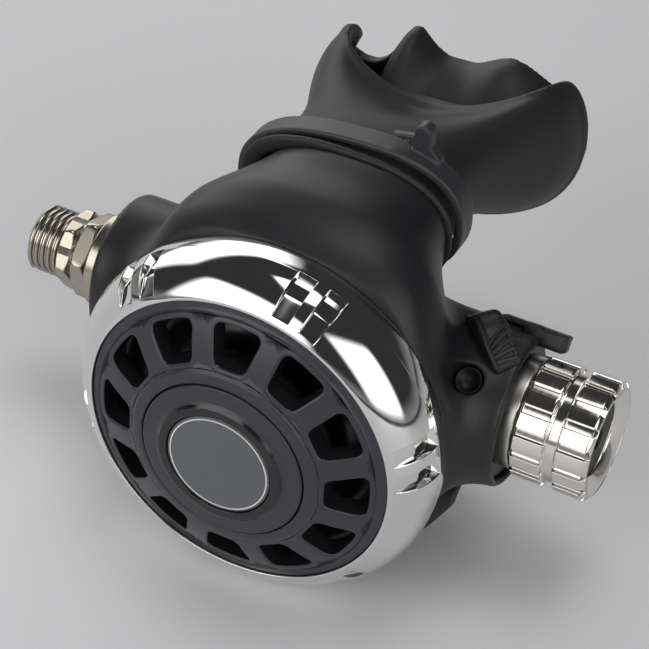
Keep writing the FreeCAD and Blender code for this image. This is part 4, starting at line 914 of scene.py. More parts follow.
mouthSizes = {
    # knots of half the rim, from the middle of its top to the middle of its bottom, and
    # how far the wall turns outwards there
    "rim": [(0, 43.2, 33.6, 0.5), (10.1, 43.0, 35.1, 0.4), (20.0, 47.6, 38.5, 0.1),
            (24.4, 57.1, 37.8, -0.3), (28.2, 59.0, 30.2, -0.4), (28.5, 57.1, 20.1, -0.4),
            (23.8, 53.6, 11.8, -0.2), (12.9, 49.6, 7.4, 0.1), (0, 48.3, 6.5, 0.2)],
    "roll": -2.8, "pitch": -3.0, "turnFrom": 14.0, "turnTo": 27.0, "pivot": 12.0,
    "middle": 28.9, "outFrom": 6.0, "power": 2.5, "around": 200, "steps": 34,
    "start": 4.6, "bore": (19.2, 10.4), "boreEnd": 15.3, "lip": (22.7, 13.4), "lipEnd": 6.1,
    "sleeve": (21.3, 12.2), "waist": (20.9, 12.1), "waistAt": 10.0,
    "neck": (19.5, 11.6), "neckAt": 17.0, "neckPull": 0.42, "rimPull": 0.36,
    "wall": 2.0, "edge": 3.4, "edgeFrom": 9.0, "bead": 0.7, "beadWidth": 3.6,
    "airway": (16.2, 7.6), "airwayAt": 24.0, "airwayDrop": 2.0,
    "airEnd": (14.5, 5.2), "airDrop": 6.0, "floorAt": 36.0, "floorDip": -2.0, "turnIn": 0.62,
    "tabIn": 11.0, "tabOut": 22.5, "tabFrom": 42.0, "tabTo": 65.6, "tabLow": 16.6, "tabHigh": 19.4,
    "nubIn": 10.8, "nubOut": 13.6, "nubFrom": 56.0, "nubLow": 12.6, "nubHigh": 23.0,
    # top of the inner wall from one side to the other: a sharp hump and a broad one
    "crest": [(-26.5, 31.5), (-22.0, 29.6), (-18.5, 29.6), (-15.8, 31.6), (-13.2, 35.6),
              (-11.2, 38.8), (-9.3, 39.3), (-7.0, 37.2), (-4.0, 34.9), (0, 34.2), (4.0, 34.6),
              (7.0, 36.0), (9.5, 37.2), (12.0, 37.5), (14.5, 36.9), (17.0, 35.8), (20.0, 34.2),
              (23.0, 32.4), (26.5, 31.5)],
    "crestMiddle": -0.8, "crestAt": 60.0, "crestThick": 2.3, "bridgeFrom": 40.0,
    "bridgeLow": 28.0, "bridgeRight": 23.5, "cell": 0.55, "rounds": 4,
}


def loopThrough(knots, count):
    # smooth closed curve through the knots, as points at equal steps along it
    knots = np.asarray(knots, float)
    ahead, behind = np.roll(knots, -1, 0), np.roll(knots, 1, 0)
    one = np.eye(len(knots))
    slopes = np.linalg.solve(4 * one + np.roll(one, 1, 0) + np.roll(one, -1, 0), 3 * (ahead - behind))
    t = np.linspace(0, 1, 40, endpoint=False)[None, :, None]
    a, b, ma, mb = (value[:, None, :] for value in (knots, ahead, slopes, np.roll(slopes, -1, 0)))
    fine = ((2 * t ** 3 - 3 * t ** 2 + 1) * a + (t ** 3 - 2 * t ** 2 + t) * ma
            + (3 * t ** 2 - 2 * t ** 3) * b + (t ** 3 - t ** 2) * mb).reshape(-1, knots.shape[1])
    return equalSteps(fine, count)


def equalSteps(loop, count):
    # points at equal steps round a closed loop
    closed = np.concatenate([loop, loop[:1]])
    reach = np.concatenate([[0], np.cumsum(np.linalg.norm(np.diff(closed[:, :3], axis=0), axis=1))])
    at = np.linspace(0, reach[-1], count, endpoint=False)
    return np.stack([np.interp(at, reach, closed[:, k]) for k in range(loop.shape[1])], 1)


def ovalLoop(size, y, middle, power, count):
    t = np.linspace(0, 2 * np.pi, 720, endpoint=False)
    sine, cosine = np.sin(t), np.cos(t)
    loop = np.stack([size[0] * np.sign(sine) * np.abs(sine) ** (2 / power),
                     np.full(len(t), float(y)),
                     middle + size[1] * np.sign(cosine) * np.abs(cosine) ** (2 / power)], 1)
    return equalSteps(loop, count)


def wallProfile(n, rim, neck):
    # outer wall from neck to rim, one row of points for each step
    flare = rim[:, 3:]
    rim = rim[:, :3]
    run = rim - neck
    length = np.linalg.norm(run, axis=1)[:, None]
    outwards = rim - np.array([0, 0, n.middle - n.outFrom])
    outwards[:, 1] = 0
    outwards /= np.linalg.norm(outwards, axis=1)[:, None]
    last = run / length + flare * outwards
    last /= np.linalg.norm(last, axis=1)[:, None]
    first = neck + np.array([0, n.neckPull, 0]) * length
    second = rim - n.rimPull * length * last
    rows = [(1 - s) ** 3 * neck + 3 * (1 - s) ** 2 * s * first + 3 * (1 - s) * s * s * second
            + s ** 3 * rim for s in np.linspace(0, 1, n.steps)]
    return np.array(rows), last, length


def makeShield(n):
    half = np.array(n.rim, float)
    other = half[-2:0:-1] * [-1, 1, 1, 1]
    rim = loopThrough(np.concatenate([half, other]), n.around)
    neck = ovalLoop(n.neck, n.neckAt, n.middle, n.power, n.around)
    wall, last, length = wallProfile(n, rim, neck)
    normal = np.cross(np.roll(wall, -1, 1) - np.roll(wall, 1, 1), np.gradient(wall, axis=0))
    normal /= np.linalg.norm(normal, axis=2)[:, :, None]
    if (normal[0, 0] @ [0, 0, 1]) < 0:
        normal = -normal
    # rolled lip just before the edge
    left = (1 - np.linspace(0, 1, n.steps))[:, None] * length[:, 0]
    bead = np.clip(1 - np.abs(left - n.beadWidth / 2) / (n.beadWidth / 2), 0, 1)
    outer = wall + (n.bead * np.sqrt(bead))[:, :, None] * normal
    share = np.clip(1 - left / n.edgeFrom, 0, 1)[:, :, None]
    inner = wall - (n.wall + (n.edge - n.wall) * share) * normal
    middle, spread = (outer[-1] + inner[-1]) / 2, (outer[-1] - inner[-1]) / 2
    reach = np.linalg.norm(spread, axis=1)[:, None]
    cap = [middle + spread * math.cos(angle) + last * reach * math.sin(angle)
           for angle in np.radians([25, 50, 75, 90, 105, 130, 155])]

    def oval(size, y, drop=0.0):
        return ovalLoop(size, y, n.middle - drop, n.power, n.around)

    lip, lowLip = n.lip, (n.lip[0] - 0.3, n.lip[1] - 0.3)
    sleeve = [oval(size, y) for size, y in (
        (n.bore, n.start), (lowLip, n.start), (lip, n.start + 0.3), (lip, n.lipEnd - 0.3),
        (lowLip, n.lipEnd), (n.sleeve, n.lipEnd + 0.1), (n.waist, n.waistAt))]
    mouth = oval(n.airEnd, n.floorAt - 1.0, n.airDrop)
    turnStep = int(n.steps * n.turnIn)
    turnIn = inner[turnStep]
    floor = [turnIn + (mouth - turnIn) * t + np.array([0, n.floorDip, 0]) * math.sin(math.pi * t)
             for t in (0.25, 0.5, 0.75, 1.0)]
    airway = [oval(n.airway, n.airwayAt, n.airwayDrop), oval(n.airway, n.boreEnd + 0.1),
              oval(n.bore, n.boreEnd)]
    rows = sleeve + list(outer) + cap + list(inner[:turnStep - 1:-1]) + floor + airway
    return np.concatenate(rows), gridFaces(len(rows), n.around, True, True)


def closedSlab(top, bottom):
    # solid between two grids of points
    rows, columns = top.shape[:2]
    below = rows * columns
    faces = []
    for face in gridFaces(rows, columns):
        under = tuple(index + below for index in face)
        faces += [face, under[:1] + under[:0:-1]]
    border = (list(range(columns)) + [i * columns + columns - 1 for i in range(1, rows)]
              + [(rows - 1) * columns + k for k in range(columns - 2, -1, -1)]
              + [i * columns for i in range(rows - 2, 0, -1)])
    faces += [(b, a, below + a, below + b) for a, b in zip(border, border[1:] + border[:1])]
    return np.concatenate([top.reshape(-1, 3), bottom.reshape(-1, 3)]), faces


def block(low, high):
    xs, ys = np.meshgrid([low[0], high[0]], [low[1], high[1]], indexing="ij")
    return closedSlab(np.stack([xs, ys, np.full_like(xs, high[2])], 2),
                      np.stack([xs, ys, np.full_like(xs, low[2])], 2))


def makeBite(n):
    # bridge that rises to a crest with a hump over each tab, the wall under the crest's
    # ends, and the tabs with their upright nubs
    reach, heights = np.array(n.crest).T
    xs = np.linspace(-reach[-1], reach[-1], 109)
    crest = along(xs, reach, heights)
    ys = np.linspace(n.bridgeFrom, n.crestAt + n.crestThick / 2, 30)
    t = ease((ys - n.bridgeFrom) / (n.crestAt - 1.5 - n.bridgeFrom))
    top = np.stack(np.broadcast_arrays(
        xs[:, None] + n.crestMiddle, ys[None, :],
        n.bridgeLow + (crest[:, None] - n.bridgeLow) * t), 2)
    inside = (xs > -n.nubOut) & (xs < n.bridgeRight)
    parts = [closedSlab(top[inside], top[inside] - [0, 0, n.crestThick])]
    span = np.array([n.crestAt - n.crestThick / 2 - 0.6, n.crestAt + n.crestThick / 2])
    tab = ((n.tabIn, n.tabFrom, n.tabLow), (n.tabOut, n.tabTo, n.tabHigh))
    nub = ((n.nubIn, n.nubFrom, n.nubLow), (n.nubOut, n.tabTo, n.nubHigh))
    for side in (-1, 1):
        ends = xs * side > n.nubIn - 2.2
        wallTop = np.stack(np.broadcast_arrays(xs[ends][:, None] + n.crestMiddle, span[None, :],
                                               crest[ends][:, None]), 2)
        wallLow = wallTop.copy()
        wallLow[:, :, 2] = n.tabLow + 1
        parts.append(closedSlab(wallTop, wallLow))
        for low, high in (tab, nub):
            left, right = sorted((side * low[0], side * high[0]))
            parts.append(block((left, *low[1:]), (right, *high[1:])))
    return parts


def fuse(name, parts, n, place, material):
    # closed parts run together into one soft skin, then put in place
    vertices, faces = [], []
    for points, polygons in parts:
        volume = sum(np.dot(points[f[0]], np.cross(points[f[k]], points[f[k + 1]]))
                     for f in polygons for k in range(1, len(f) - 1))
        step = 1 if volume > 0 else -1
        faces += [tuple(index + len(vertices) for index in polygon[::step]) for polygon in polygons]
        vertices += [tuple(point) for point in points]
    mesh = bpy.data.meshes.new(name)
    mesh.from_pydata(vertices, [], faces)
    draft = placeObject(name, mesh)
    skin = draft.modifiers.new("skin", "REMESH")
    skin.mode = "VOXEL"
    skin.voxel_size = n.cell
    soft = draft.modifiers.new("soften", "SMOOTH")
    soft.factor = 0.5
    soft.iterations = n.rounds
    applyModifiers(draft)
    points = np.array([v.co for v in draft.data.vertices])
    polygons = [tuple(polygon.vertices) for polygon in draft.data.polygons]
    bpy.data.objects.remove(draft)
    piece = addPiece(name, place(points), polygons, material)
    faceOutwards(piece)
    print(name, len(polygons), "faces")
    return piece


def makeMouthpiece(sizes):
    n = SimpleNamespace(**sizes)

    def place(points):
        # the soft mouthpiece hangs a little turned on its sleeve
        t = ease((points[:, 1] - n.turnFrom) / (n.turnTo - n.turnFrom))
        x, y, z = points[:, 0], points[:, 1] - n.pivot, points[:, 2] - n.middle
        a, b = math.radians(n.roll) * t, math.radians(n.pitch) * t
        y, z = y * np.cos(b) - z * np.sin(b), y * np.sin(b) + z * np.cos(b)
        x, z = x * np.cos(a) + z * np.sin(a), z * np.cos(a) - x * np.sin(a)
        return np.stack([x, y + n.pivot, z + n.middle], 1)

    return fuse("mouthpieceSkin", [makeShield(n)] + makeBite(n), n, place, silicone)


finish(makeMouthpiece(mouthSizes), "housing", "mouthpiece")


# clamp band with its buckle

clampSizes = {
    "start": 7.5, "end": 12.9, "wide": 24.1, "high": 14.1, "inWide": 22.4, "inHigh": 12.8,
    "across": -0.5, "lean": 0.065, "middle": 28.9, "power": 2.5, "edge": 0.4,
    "tabAcross": 12.5, "tabHalf": 1.75, "tabFrom": 10.6, "tabTo": 13.6, "tabTop": 48.6,
    "tabRoot": 40.0, "wedgeReach": 6.4, "wedgeHigh": 1.7, "wedgeAt": 44.6,
    "wedgeRise": 0.4, "wedgeIn": 0.9, "wedgeHalf": 0.8, "hole": 0.55,
    "footReach": 4.0, "footRoot": 39.0, "footTop": 1.6, "footDrop": 2.6, "footIn": 1.3,
    "footHalf": 1.2,
    "lowCorner": (-25, 7, 13), "highCorner": (24, 14, 49), "cell": 0.3, "share": 0.8,
}


def makeClamp(sizes):
    n = SimpleNamespace(**sizes)

    def shape(x, y, z):
        level = z - n.middle - n.lean * x
        outer = ovalField(x - n.across, level, n.wide, n.high, n.power)
        inner = ovalField(x - n.across, level, n.inWide, n.inHigh, n.power)
        band = roundBoth(roundBoth(outer, between(y, n.start, n.end), n.edge), -inner, 0.2)
        # buckle: upright tab with a pointed wedge on one side and a foot on the other
        across = x - n.tabAcross
        tab = np.hypot(across, np.maximum(z - (n.tabTop - n.tabHalf), 0)) - n.tabHalf
        tab = np.maximum(tab, n.tabRoot - z)
        tab = roundBoth(tab, between(y, n.tabFrom, n.tabTo), n.edge)
        reach = np.clip(-across / n.wedgeReach, 0, 1)
        wedge = np.abs(z - n.wedgeAt - n.wedgeRise * reach) - n.wedgeHigh * (1 - reach)
        wedge = roundBoth(np.maximum(wedge, across), np.abs(y - n.tabFrom - n.wedgeIn) - n.wedgeHalf, 0.2)
        wedge = np.maximum(wedge, -n.wedgeReach - across)
        hole = np.hypot(across + n.tabHalf + 1.5, z - n.wedgeAt) - n.hole
        wedge = roundBoth(wedge, -hole, 0.1)
        side = np.clip(across / n.footReach, 0, 1)
        foot = np.maximum(z - n.wedgeAt - n.footTop * (1 - side) + n.footDrop * side, n.footRoot - z)
        foot = np.maximum(np.maximum(foot, -across), across - n.footReach)
        foot = roundBoth(foot, np.abs(y - n.tabFrom - n.footIn) - n.footHalf, 0.3)
        buckle = roundJoin(roundJoin(tab, wedge, 0.2), foot, 0.3)
        return roundJoin(band, np.maximum(buckle, -inner), 0.3)

    return skinField("clampBand", shape, n, bandPlastic)


finish(makeClamp(clampSizes), "housing", "mouthpiece_clamp")


# inlet: threaded nose, hexagon, lock nut and washer

inletSizes = {
    "tip": -65.1, "root": 6.4, "pitch": 1.411, "turns": 5.0, "threadFrom": 0.5, "ridge": 0.62,
    "ridgeSides": 4, "taper": 0.03,
    "bore": 3.2, "hexFrom": -57.6, "hexTo": -54.5, "hexFlats": 14.7, "hexTurn": 30.0,
    "neck": 7.4, "caseAt": -45.6, "shank": 5.9, "shankEnd": -32.0,
    "nutFrom": -53.8, "nutTo": -50.3, "nutFlats": 15.9, "nutTurn": 12.0, "nutClear": 0.3,
    "washerFrom": -49.7, "washer": 9.9, "step": 9.0, "stepAt": -47.4,
}


def hexPrism(name, start, end, flats, bore, turned):
    # chamfered hexagon as one sixth repeated; the chamfer cuts the corners to a cone
    corner = flats / math.sqrt(3)
    angles = np.concatenate([np.linspace(-30, -27, 5), np.linspace(-24, 24, 17), np.linspace(27, 30, 5)])
    drop = corner - flats / 2
    rows = [(start, drop + 0.2), (start + 0.06, drop + 0.06)]
    rows += [(start + drop * 0.577 * t, drop * (1 - t)) for t in (0.25, 0.5, 0.75, 1)]
    rows += [(end - (at - start), offset) for at, offset in rows[::-1]]

    def rowAt(at, radii):
        return [spun("x", at, radius, math.radians(a + turned)) for a, radius in zip(angles, radii)]

    sides = [min(flats / 2 / math.cos(math.radians(a)), corner - 0.12) for a in angles]
    bores = [bore] * len(angles)
    vertices = rowAt(start, bores)
    for at, offset in rows:
        vertices += rowAt(at, [min(side, corner - offset) for side in sides])
    vertices += rowAt(end, bores)
    return ringOf(name, vertices, gridFaces(len(rows) + 2, len(angles), closedRows=True), "x", 6, inletMetal)


def threadTree():
    # ridge wound round X, tapered at both ends
    tree, given = newTree("threadRidge", {
        "Turns": "Float", "Radius": "Float", "Length": "Float", "Start": "Vector",
        "Ridge": "Float", "Sides": "Int", "Taper": "Float", "Material": "Material"})
    coil = addNode(tree, "GeometryNodeCurveSpiral", values={"Resolution": 72},
                   links={"Rotations": given["Turns"], "Start Radius": given["Radius"],
                          "End Radius": given["Radius"], "Height": given["Length"]})
    upright = addNode(tree, "GeometryNodeSetCurveNormal", settings={"mode": "Z_UP"},
                      links={"Curve": coil.outputs[0]})
    where = addNode(tree, "GeometryNodeSplineParameter").outputs["Factor"]
    left = addNode(tree, "ShaderNodeMath", settings={"operation": "SUBTRACT"}, values={0: 1.0},
                   links={1: where})
    rise, fall = (addNode(tree, "ShaderNodeMapRange",
                          values={"From Min": 0.0, "To Min": 0.05, "To Max": 1.0},
                          links={"Value": way, "From Max": given["Taper"]})
                  for way in (where, left.outputs[0]))
    taper = addNode(tree, "ShaderNodeMath", settings={"operation": "MINIMUM"},
                    links={0: rise.outputs["Result"], 1: fall.outputs["Result"]})
    section = addNode(tree, "GeometryNodeCurvePrimitiveCircle",
                      links={"Resolution": given["Sides"], "Radius": given["Ridge"]})
    ridge = addNode(tree, "GeometryNodeCurveToMesh", values={"Fill Caps": True},
                    links={"Curve": upright.outputs[0], "Profile Curve": section.outputs["Curve"],
                           "Scale": taper.outputs[0]})
    laid = addNode(tree, "GeometryNodeTransform", values={"Rotation": (0, math.pi / 2, 0)},
                   links={"Geometry": ridge.outputs[0], "Translation": given["Start"]})
    real = addNode(tree, "GeometryNodeRealizeInstances", links={"Geometry": laid.outputs[0]})
    return closeTree(tree, real.outputs[0], given["Material"])


threadRidge = threadTree()


def woundRidge(name, turns, radius, length, start, ridge, sides, taper, material):
    piece = placeObject(name, bpy.data.meshes.new(name))
    runTree(piece, threadRidge, {
        "Turns": float(turns), "Radius": radius * 0.001, "Length": length * 0.001,
        "Start": (start * 0.001, 0.0, axisHeight), "Ridge": ridge * 0.001, "Sides": sides,
        "Taper": taper, "Material": material})
    return piece


def makeInlet(sizes):
    n = SimpleNamespace(**sizes)
    stem = roundedOutline([
        (n.tip, n.bore, 0.2), (n.tip, n.root - 0.55, 0.2), (n.tip + 0.55, n.root, 0.2),
        (n.hexFrom - 0.1, n.root), (n.hexFrom + 0.3, n.root), (n.hexFrom + 0.3, n.neck),
        (n.caseAt, n.neck), (n.caseAt, n.shank), (n.shankEnd, n.shank), (n.shankEnd, n.bore)])
    finish(lathe("inletStem", "x", stem, inletMetal, 96), "housing", "inlet_fitting")
    thread = woundRidge("inletThread", n.turns, n.root - 0.02, n.pitch * n.turns,
                        n.tip + n.threadFrom, n.ridge, n.ridgeSides, n.taper, inletMetal)
    finish(thread, "housing")
    finish(hexPrism("inletHexagon", n.hexFrom, n.hexTo, n.hexFlats, n.neck - 0.02, n.hexTurn), "housing")
    finish(hexPrism("inletLockNut", n.nutFrom, n.nutTo, n.nutFlats, n.neck + n.nutClear, n.nutTurn),
           "housing", "inlet_lock_nut")
    washer = roundedOutline([
        (n.washerFrom, n.neck + n.nutClear), (n.washerFrom, n.washer, 0.35),
        (n.stepAt, n.washer, 0.35), (n.stepAt, n.step, 0.15), (n.caseAt, n.step),
        (n.caseAt, n.neck + n.nutClear)])
    finish(lathe("inletWasher", "x", washer, inletMetal), "housing", "inlet_washer")


makeInlet(inletSizes)


# packing collar and knob

knobSizes = {
    "start": 45.1, "bandOneEnd": 51.6, "bandTwoStart": 54.0, "end": 60.7, "radius": 12.13,
    "toothDepth": 0.75, "waist": 11.0, "cone": 10.9, "coneEnd": 58.9, "bore": 7.6,
    "floor": 54.6, "stem": 3.25, "hollow": 9.2, "hollowEnd": 47.6, "teeth": 16, "gap": 8.2,
    "collarFrom": 41.8, "collarTo": 44.8, "collar": 11.2, "collarRoot": 37.0,
    "collarThread": 5.9, "cap": 7.5, "capEnd": 58.6, "capReach": 50.3, "capShank": 1.95,
    "capDimple": 2.2,
}


def makeKnob(sizes):
    n = SimpleNamespace(**sizes)
    r, one, two, end = n.radius, n.bandOneEnd, n.bandTwoStart, n.end
    # distance, radius and how much of the tooth's depth is cut there
    section = [
        (n.start, n.hollow, 0), (n.start, r - 1.3, 0), (n.start, r - 0.5, 1),
        (n.start + 0.12, r - 0.2, 1), (n.start + 0.4, r, 1), (n.start + 0.7, r, 1),
        (one - 0.6, r, 1), (one - 0.3, r, 1), (one - 0.08, r - 0.12, 1), (one, r - 0.35, 1),
        (one + 0.02, n.waist + 0.2, 0), (one + 0.2, n.waist, 0), (one + 0.5, n.waist, 0),
        (two - 0.5, n.waist, 0), (two - 0.2, n.waist, 0), (two - 0.02, n.waist + 0.2, 0),
        (two, r - 0.35, 1), (two + 0.08, r - 0.12, 1), (two + 0.3, r, 1), (two + 0.6, r, 1),
        (end - 1.2, r, 1), (end - 0.9, r - 0.03, 1), (end - 0.25, r - 0.75, 0.5),
        (end - 0.05, r - 1.05, 0), (end, r - 1.25, 0),
        (end - 0.03, n.cone + 0.08, 0), (end - 0.15, n.cone - 0.1, 0),
        (n.coneEnd + 0.2, n.bore + 0.2, 0), (n.coneEnd, n.bore + 0.05, 0),
        (n.coneEnd - 0.2, n.bore, 0), (n.floor + 0.2, n.bore, 0), (n.floor, n.bore - 0.2, 0),
        (n.floor, n.stem, 0), (n.hollowEnd, n.stem, 0), (n.hollowEnd, n.hollow, 0)]
    outline = [(at, radius, n.toothDepth * share) for at, radius, share in section]
    angles, shares = windowAngles(180 / n.teeth, [(0.0, n.gap)], 0.55, 1.6)
    vertices, faces = turnedSegment("x", outline, angles, shares)
    finish(ringOf("adjustKnob", vertices, faces, "x", n.teeth, knobChrome), "knob", "adjust_knob")
    cap = roundedOutline([
        (n.capReach, 0), (n.capReach, n.capShank), (n.floor, n.capShank), (n.floor, n.cap, 0.2),
        (n.capEnd, n.cap, 0.4), (n.capEnd, n.capDimple, 0.2),
        (n.capEnd - 0.7, n.capDimple - 0.2, 0.2), (n.capEnd - 0.7, 0)])
    finish(lathe("knobCap", "x", cap, capPlastic, 96), "knob", "knob_screw")
    collar = roundedOutline([
        (n.collarRoot, n.stem), (n.collarTo, n.stem), (n.collarTo, n.collar, 0.4),
        (n.collarFrom, n.collar, 0.3), (n.collarFrom, n.collarThread),
        (n.collarRoot, n.collarThread)], 6)
    finish(lathe("packingCollar", "x", collar, collarMetal), "housing", "packing_nut")


makeKnob(knobSizes)


# flow lever with its bar

leverSizes = {
    "angle": 57.0, "half": 1.9, "barIn": 15.6, "barOut": 16.7, "barFrom": 33.5, "barTo": 47.6,
    "endFrom": 39.0, "endIn": 13.0, "sleeveFrom": 16.0,
    "sleeve": 9.5, "bore": 8.05, "collarFrom": 38.6, "collarTo": 41.7, "collar": 13.9,
    "lowCorner": (16, -14, -14), "highCorner": (50, 14.5, 18), "cell": 0.33, "share": 0.6,
}


def makeLever(sizes):
    n = SimpleNamespace(**sizes)
    a = math.radians(n.angle)

    def shape(x, y, z):
        around = np.sqrt(y * y + z * z)
        out = y * math.cos(a) + z * math.sin(a)
        side = z * math.cos(a) - y * math.sin(a)
        collar = roundBoth(around - n.collar, between(x, n.collarFrom, n.collarTo), 0.3)
        sleeve = np.maximum(around - n.sleeve, between(x, n.sleeveFrom, n.collarTo))
        post = blockField(x, side, out, (n.collarFrom, -n.half, n.collar - 1),
                          (n.collarTo, n.half, n.barIn + 1), 0.3)
        # bar over the case and its deeper end, which reaches down to the knob
        bar = blockField(x, side, out, (n.barFrom, -n.half, n.barIn),
                         (n.barTo, n.half, n.barOut), 0.5)
        end = blockField(x, side, out, (n.endFrom, -n.half, n.endIn),
                         (n.barTo, n.half, n.barOut), 1.1)
        # shallow groove along the face that leaves a raised edge at the far side
        groove = blockField(x, side, out, (n.barFrom + 1.5, n.half - 1.0, n.barOut - 0.45),
                            (n.barTo - 2.6, n.half + 1, n.barOut + 1), 0.3)
        arm = roundBoth(np.minimum(bar, end), -groove, 0.15)
        body = roundJoin(np.minimum(collar, sleeve), roundJoin(arm, post, 0.4), 0.4)
        return np.maximum(body, n.bore - around)

    return skinField("flowLever", shape, n, casePlastic)


finish(makeLever(leverSizes), "venturi", "venturi_lever")


# ribbed rest beside the lever

restSizes = {
    # middle line of the tongue, as distance along the valve and angle round it, and the
    # height of its back at even steps
    "start": (30.4, 82.0), "end": (41.2, 113.0), "half": 2.6, "base": 15.3,
    "heights": [17.6, 19.6, 20.3, 19.9, 18.6, 16.4], "ribs": 5, "pitch": 1.05,
    "ribHigh": 0.45, "ribHalf": 0.28, "lastRib": 0.9, "fan": 0.16,
    "lineIn": 0.85, "lineHalf": 0.16, "lineDeep": 0.25,
    "lowCorner": (29, -9.5, 12), "highCorner": (43.5, 6, 21.2), "cell": 0.19, "share": 0.6,
}


def makeRest(sizes, radius):
    n = SimpleNamespace(**sizes)
    start, end = (np.array([at, math.radians(angle) * radius]) for at, angle in (n.start, n.end))
    length = np.linalg.norm(end - start)
    way = (end - start) / length

    def shape(x, y, z):
        around = np.sqrt(y * y + z * z)
        arc = np.arctan2(z, y) * radius
        run = (x - start[0]) * way[0] + (arc - start[1]) * way[1]
        off = (arc - start[1]) * way[0] - (x - start[0]) * way[1]
        top = along(run / length, np.linspace(0, 1, len(n.heights)), n.heights)
        pad = roundBoth(around - top, np.abs(off) - n.half, 0.5)
        pad = roundBoth(pad, between(run, 0, length), 0.7)
        # fine line along both edges
        line = np.maximum(np.abs(np.abs(off) - n.half + n.lineIn) - n.lineHalf,
                          top - n.lineDeep - around)
        pad = roundBoth(pad, -line, 0.08)
        for k in range(n.ribs):
            at = length - n.lastRib - k * n.pitch + off * n.fan * (k - 1)
            high = np.maximum(around - top - n.ribHigh, np.abs(off + 0.2) - n.half + 0.5)
            pad = roundJoin(pad, roundBoth(np.abs(run - at) - n.ribHalf, high, 0.2), 0.15)
        return np.maximum(pad, n.base - around)

    return skinField("ribbedRest", shape, n, casePlastic)


finish(makeRest(restSizes, caseSizes["crossRadius"]), "housing", "lever_stop")


# dished pin set in the case at an angle round the valve

pinSizes = {"radius": 2.7, "top": 15.6, "steps": 48}


def makePin(sizes, case):
    n, c = SimpleNamespace(**sizes), SimpleNamespace(**case)
    rows = [(c.pinRoot, 0), (c.pinRoot, n.radius), (n.top - 0.3, n.radius),
            (n.top - 0.08, n.radius - 0.08), (n.top, n.radius - 0.22),
            (n.top - 0.06, n.radius - 0.4), (n.top - 0.5, n.radius * 0.72),
            (n.top - 0.95, n.radius * 0.48), (n.top - 1.2, n.radius * 0.24), (n.top - 1.28, 0)]
    a = math.radians(c.pinAngle)
    vertices = []
    for out, size in rows:
        for t in 2 * math.pi * np.arange(n.steps) / n.steps:
            side, lengthwise = size * math.cos(t), size * math.sin(t)
            vertices.append((c.pinAcross + lengthwise, out * math.cos(a) - side * math.sin(a),
                             out * math.sin(a) + side * math.cos(a)))
    faces = gridFaces(len(rows), n.steps, closedColumns=True)
    pin = addPiece("casePin", vertices, faces, capPlastic)
    weld = pin.modifiers.new("weld", "WELD")
    weld.merge_threshold = 0.000002
    applyModifiers(pin)
    faceOutwards(pin)
    return pin


finish(makePin(pinSizes, caseSizes), "housing", "case_pin")


# springs: one wire each, wound round their axis

springSizes = {
    "purge_spring": {"turns": 4.5, "radius": 9.4, "start": -40.2, "end": -33.0, "wire": 0.45, "sides": 12,
                     "axis": "y", "joint": "button_press", "keep": 0.583},
    "poppet_spring": {"turns": 5.5, "radius": 4.1, "start": 13.88, "end": 22.0, "wire": 0.45, "sides": 12,
                      "axis": "x", "joint": "poppet_lift", "keep": 0.785},
}


def makeSpring(node, sizes):
    n = SimpleNamespace(**sizes)
    coil = woundRidge(node.replace("_spring", "Spring"), n.turns, n.radius,
                      n.end - n.start - 2 * n.wire, 0.0, n.wire, n.sides, 0.001, springSteel)
    turn = Matrix.Rotation(math.pi / 2 if n.axis == "y" else 0.0, 4, "Z")
    start = turn @ Vector(((n.start + n.wire) * 0.001, 0, 0))
    coil.data.transform(Matrix.Translation(start) @ turn)
    finish(coil, "housing", node)
    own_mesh(coil)


for node, sizes in springSizes.items():
    makeSpring(node, sizes)
print("springs made")


# carried-over pieces keep their shape and get their own finish

finishes = {
    "friction_washer": palePlastic, "purge_clip": springSteel, "diaphragm_plate": springSteel,
    "exhaust_valve": silicone, "inlet_seal": membraneSilicone, "valve_barrel": inletMetal,
    "valve_seat": inletMetal, "seat_seal": membraneSilicone, "poppet_disc": membraneSilicone,
    "poppet": palePlastic, "spring_pad": palePlastic, "adjusting_screw": inletMetal,
    "packing_seal": membraneSilicone, "venturi_vane": casePlastic, "demand_lever": springSteel,
}
for name, material in finishes.items():
    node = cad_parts[name]
    node.data.materials.clear()
    node.data.materials.append(material)
print("carried-over pieces painted")


# floor, lights and camera

def makeFloor(colour, half):
    mesh = bpy.data.meshes.new("studioFloor")
    mesh.from_pydata([(-half, -half, 0), (half, -half, 0), (half, half, 0), (-half, half, 0)],
                     [], [(0, 1, 2, 3)])
    studioFloor = placeObject("studioFloor", mesh)
    paint, _, shader, _ = newMaterial("paleStudioFloor")
    shader.inputs["Base Color"].default_value = linear(colour)
    shader.inputs["Roughness"].default_value = 0.6
    mesh.materials.append(paint)


makeFloor("#E0E0E2", 12)


def studioWorld(dark, pale, band):
    # a dark room for the lamps with a pale band along the horizon
    world = bpy.data.worlds.new("studio")
    bpy.context.scene.world = world
    world.use_nodes = True
    tree = world.node_tree
    background = tree.nodes["Background"]
    direction = addNode(tree, "ShaderNodeTexCoord").outputs["Generated"]
    split = addNode(tree, "ShaderNodeSeparateXYZ", links={"Vector": direction})
    rise = addNode(tree, "ShaderNodeMath", settings={"operation": "ABSOLUTE"},
                   links={0: split.outputs["Z"]})
    share = addNode(tree, "ShaderNodeMapRange", settings={"interpolation_type": "SMOOTHSTEP"},
                    values={"From Min": 0.0, "From Max": band}, links={"Value": rise.outputs[0]})
    mix = addNode(tree, "ShaderNodeMix", settings={"data_type": "RGBA"},
                  links={"Factor": share.outputs["Result"]})
    mix.inputs["A"].default_value = (pale, pale, pale, 1)
    mix.inputs["B"].default_value = (dark, dark, dark * 1.04, 1)
    tree.links.new(mix.outputs["Result"], background.inputs["Color"])
    background.inputs["Strength"].default_value = 1.0


studioWorld(0.035, 0.24, 0.2)

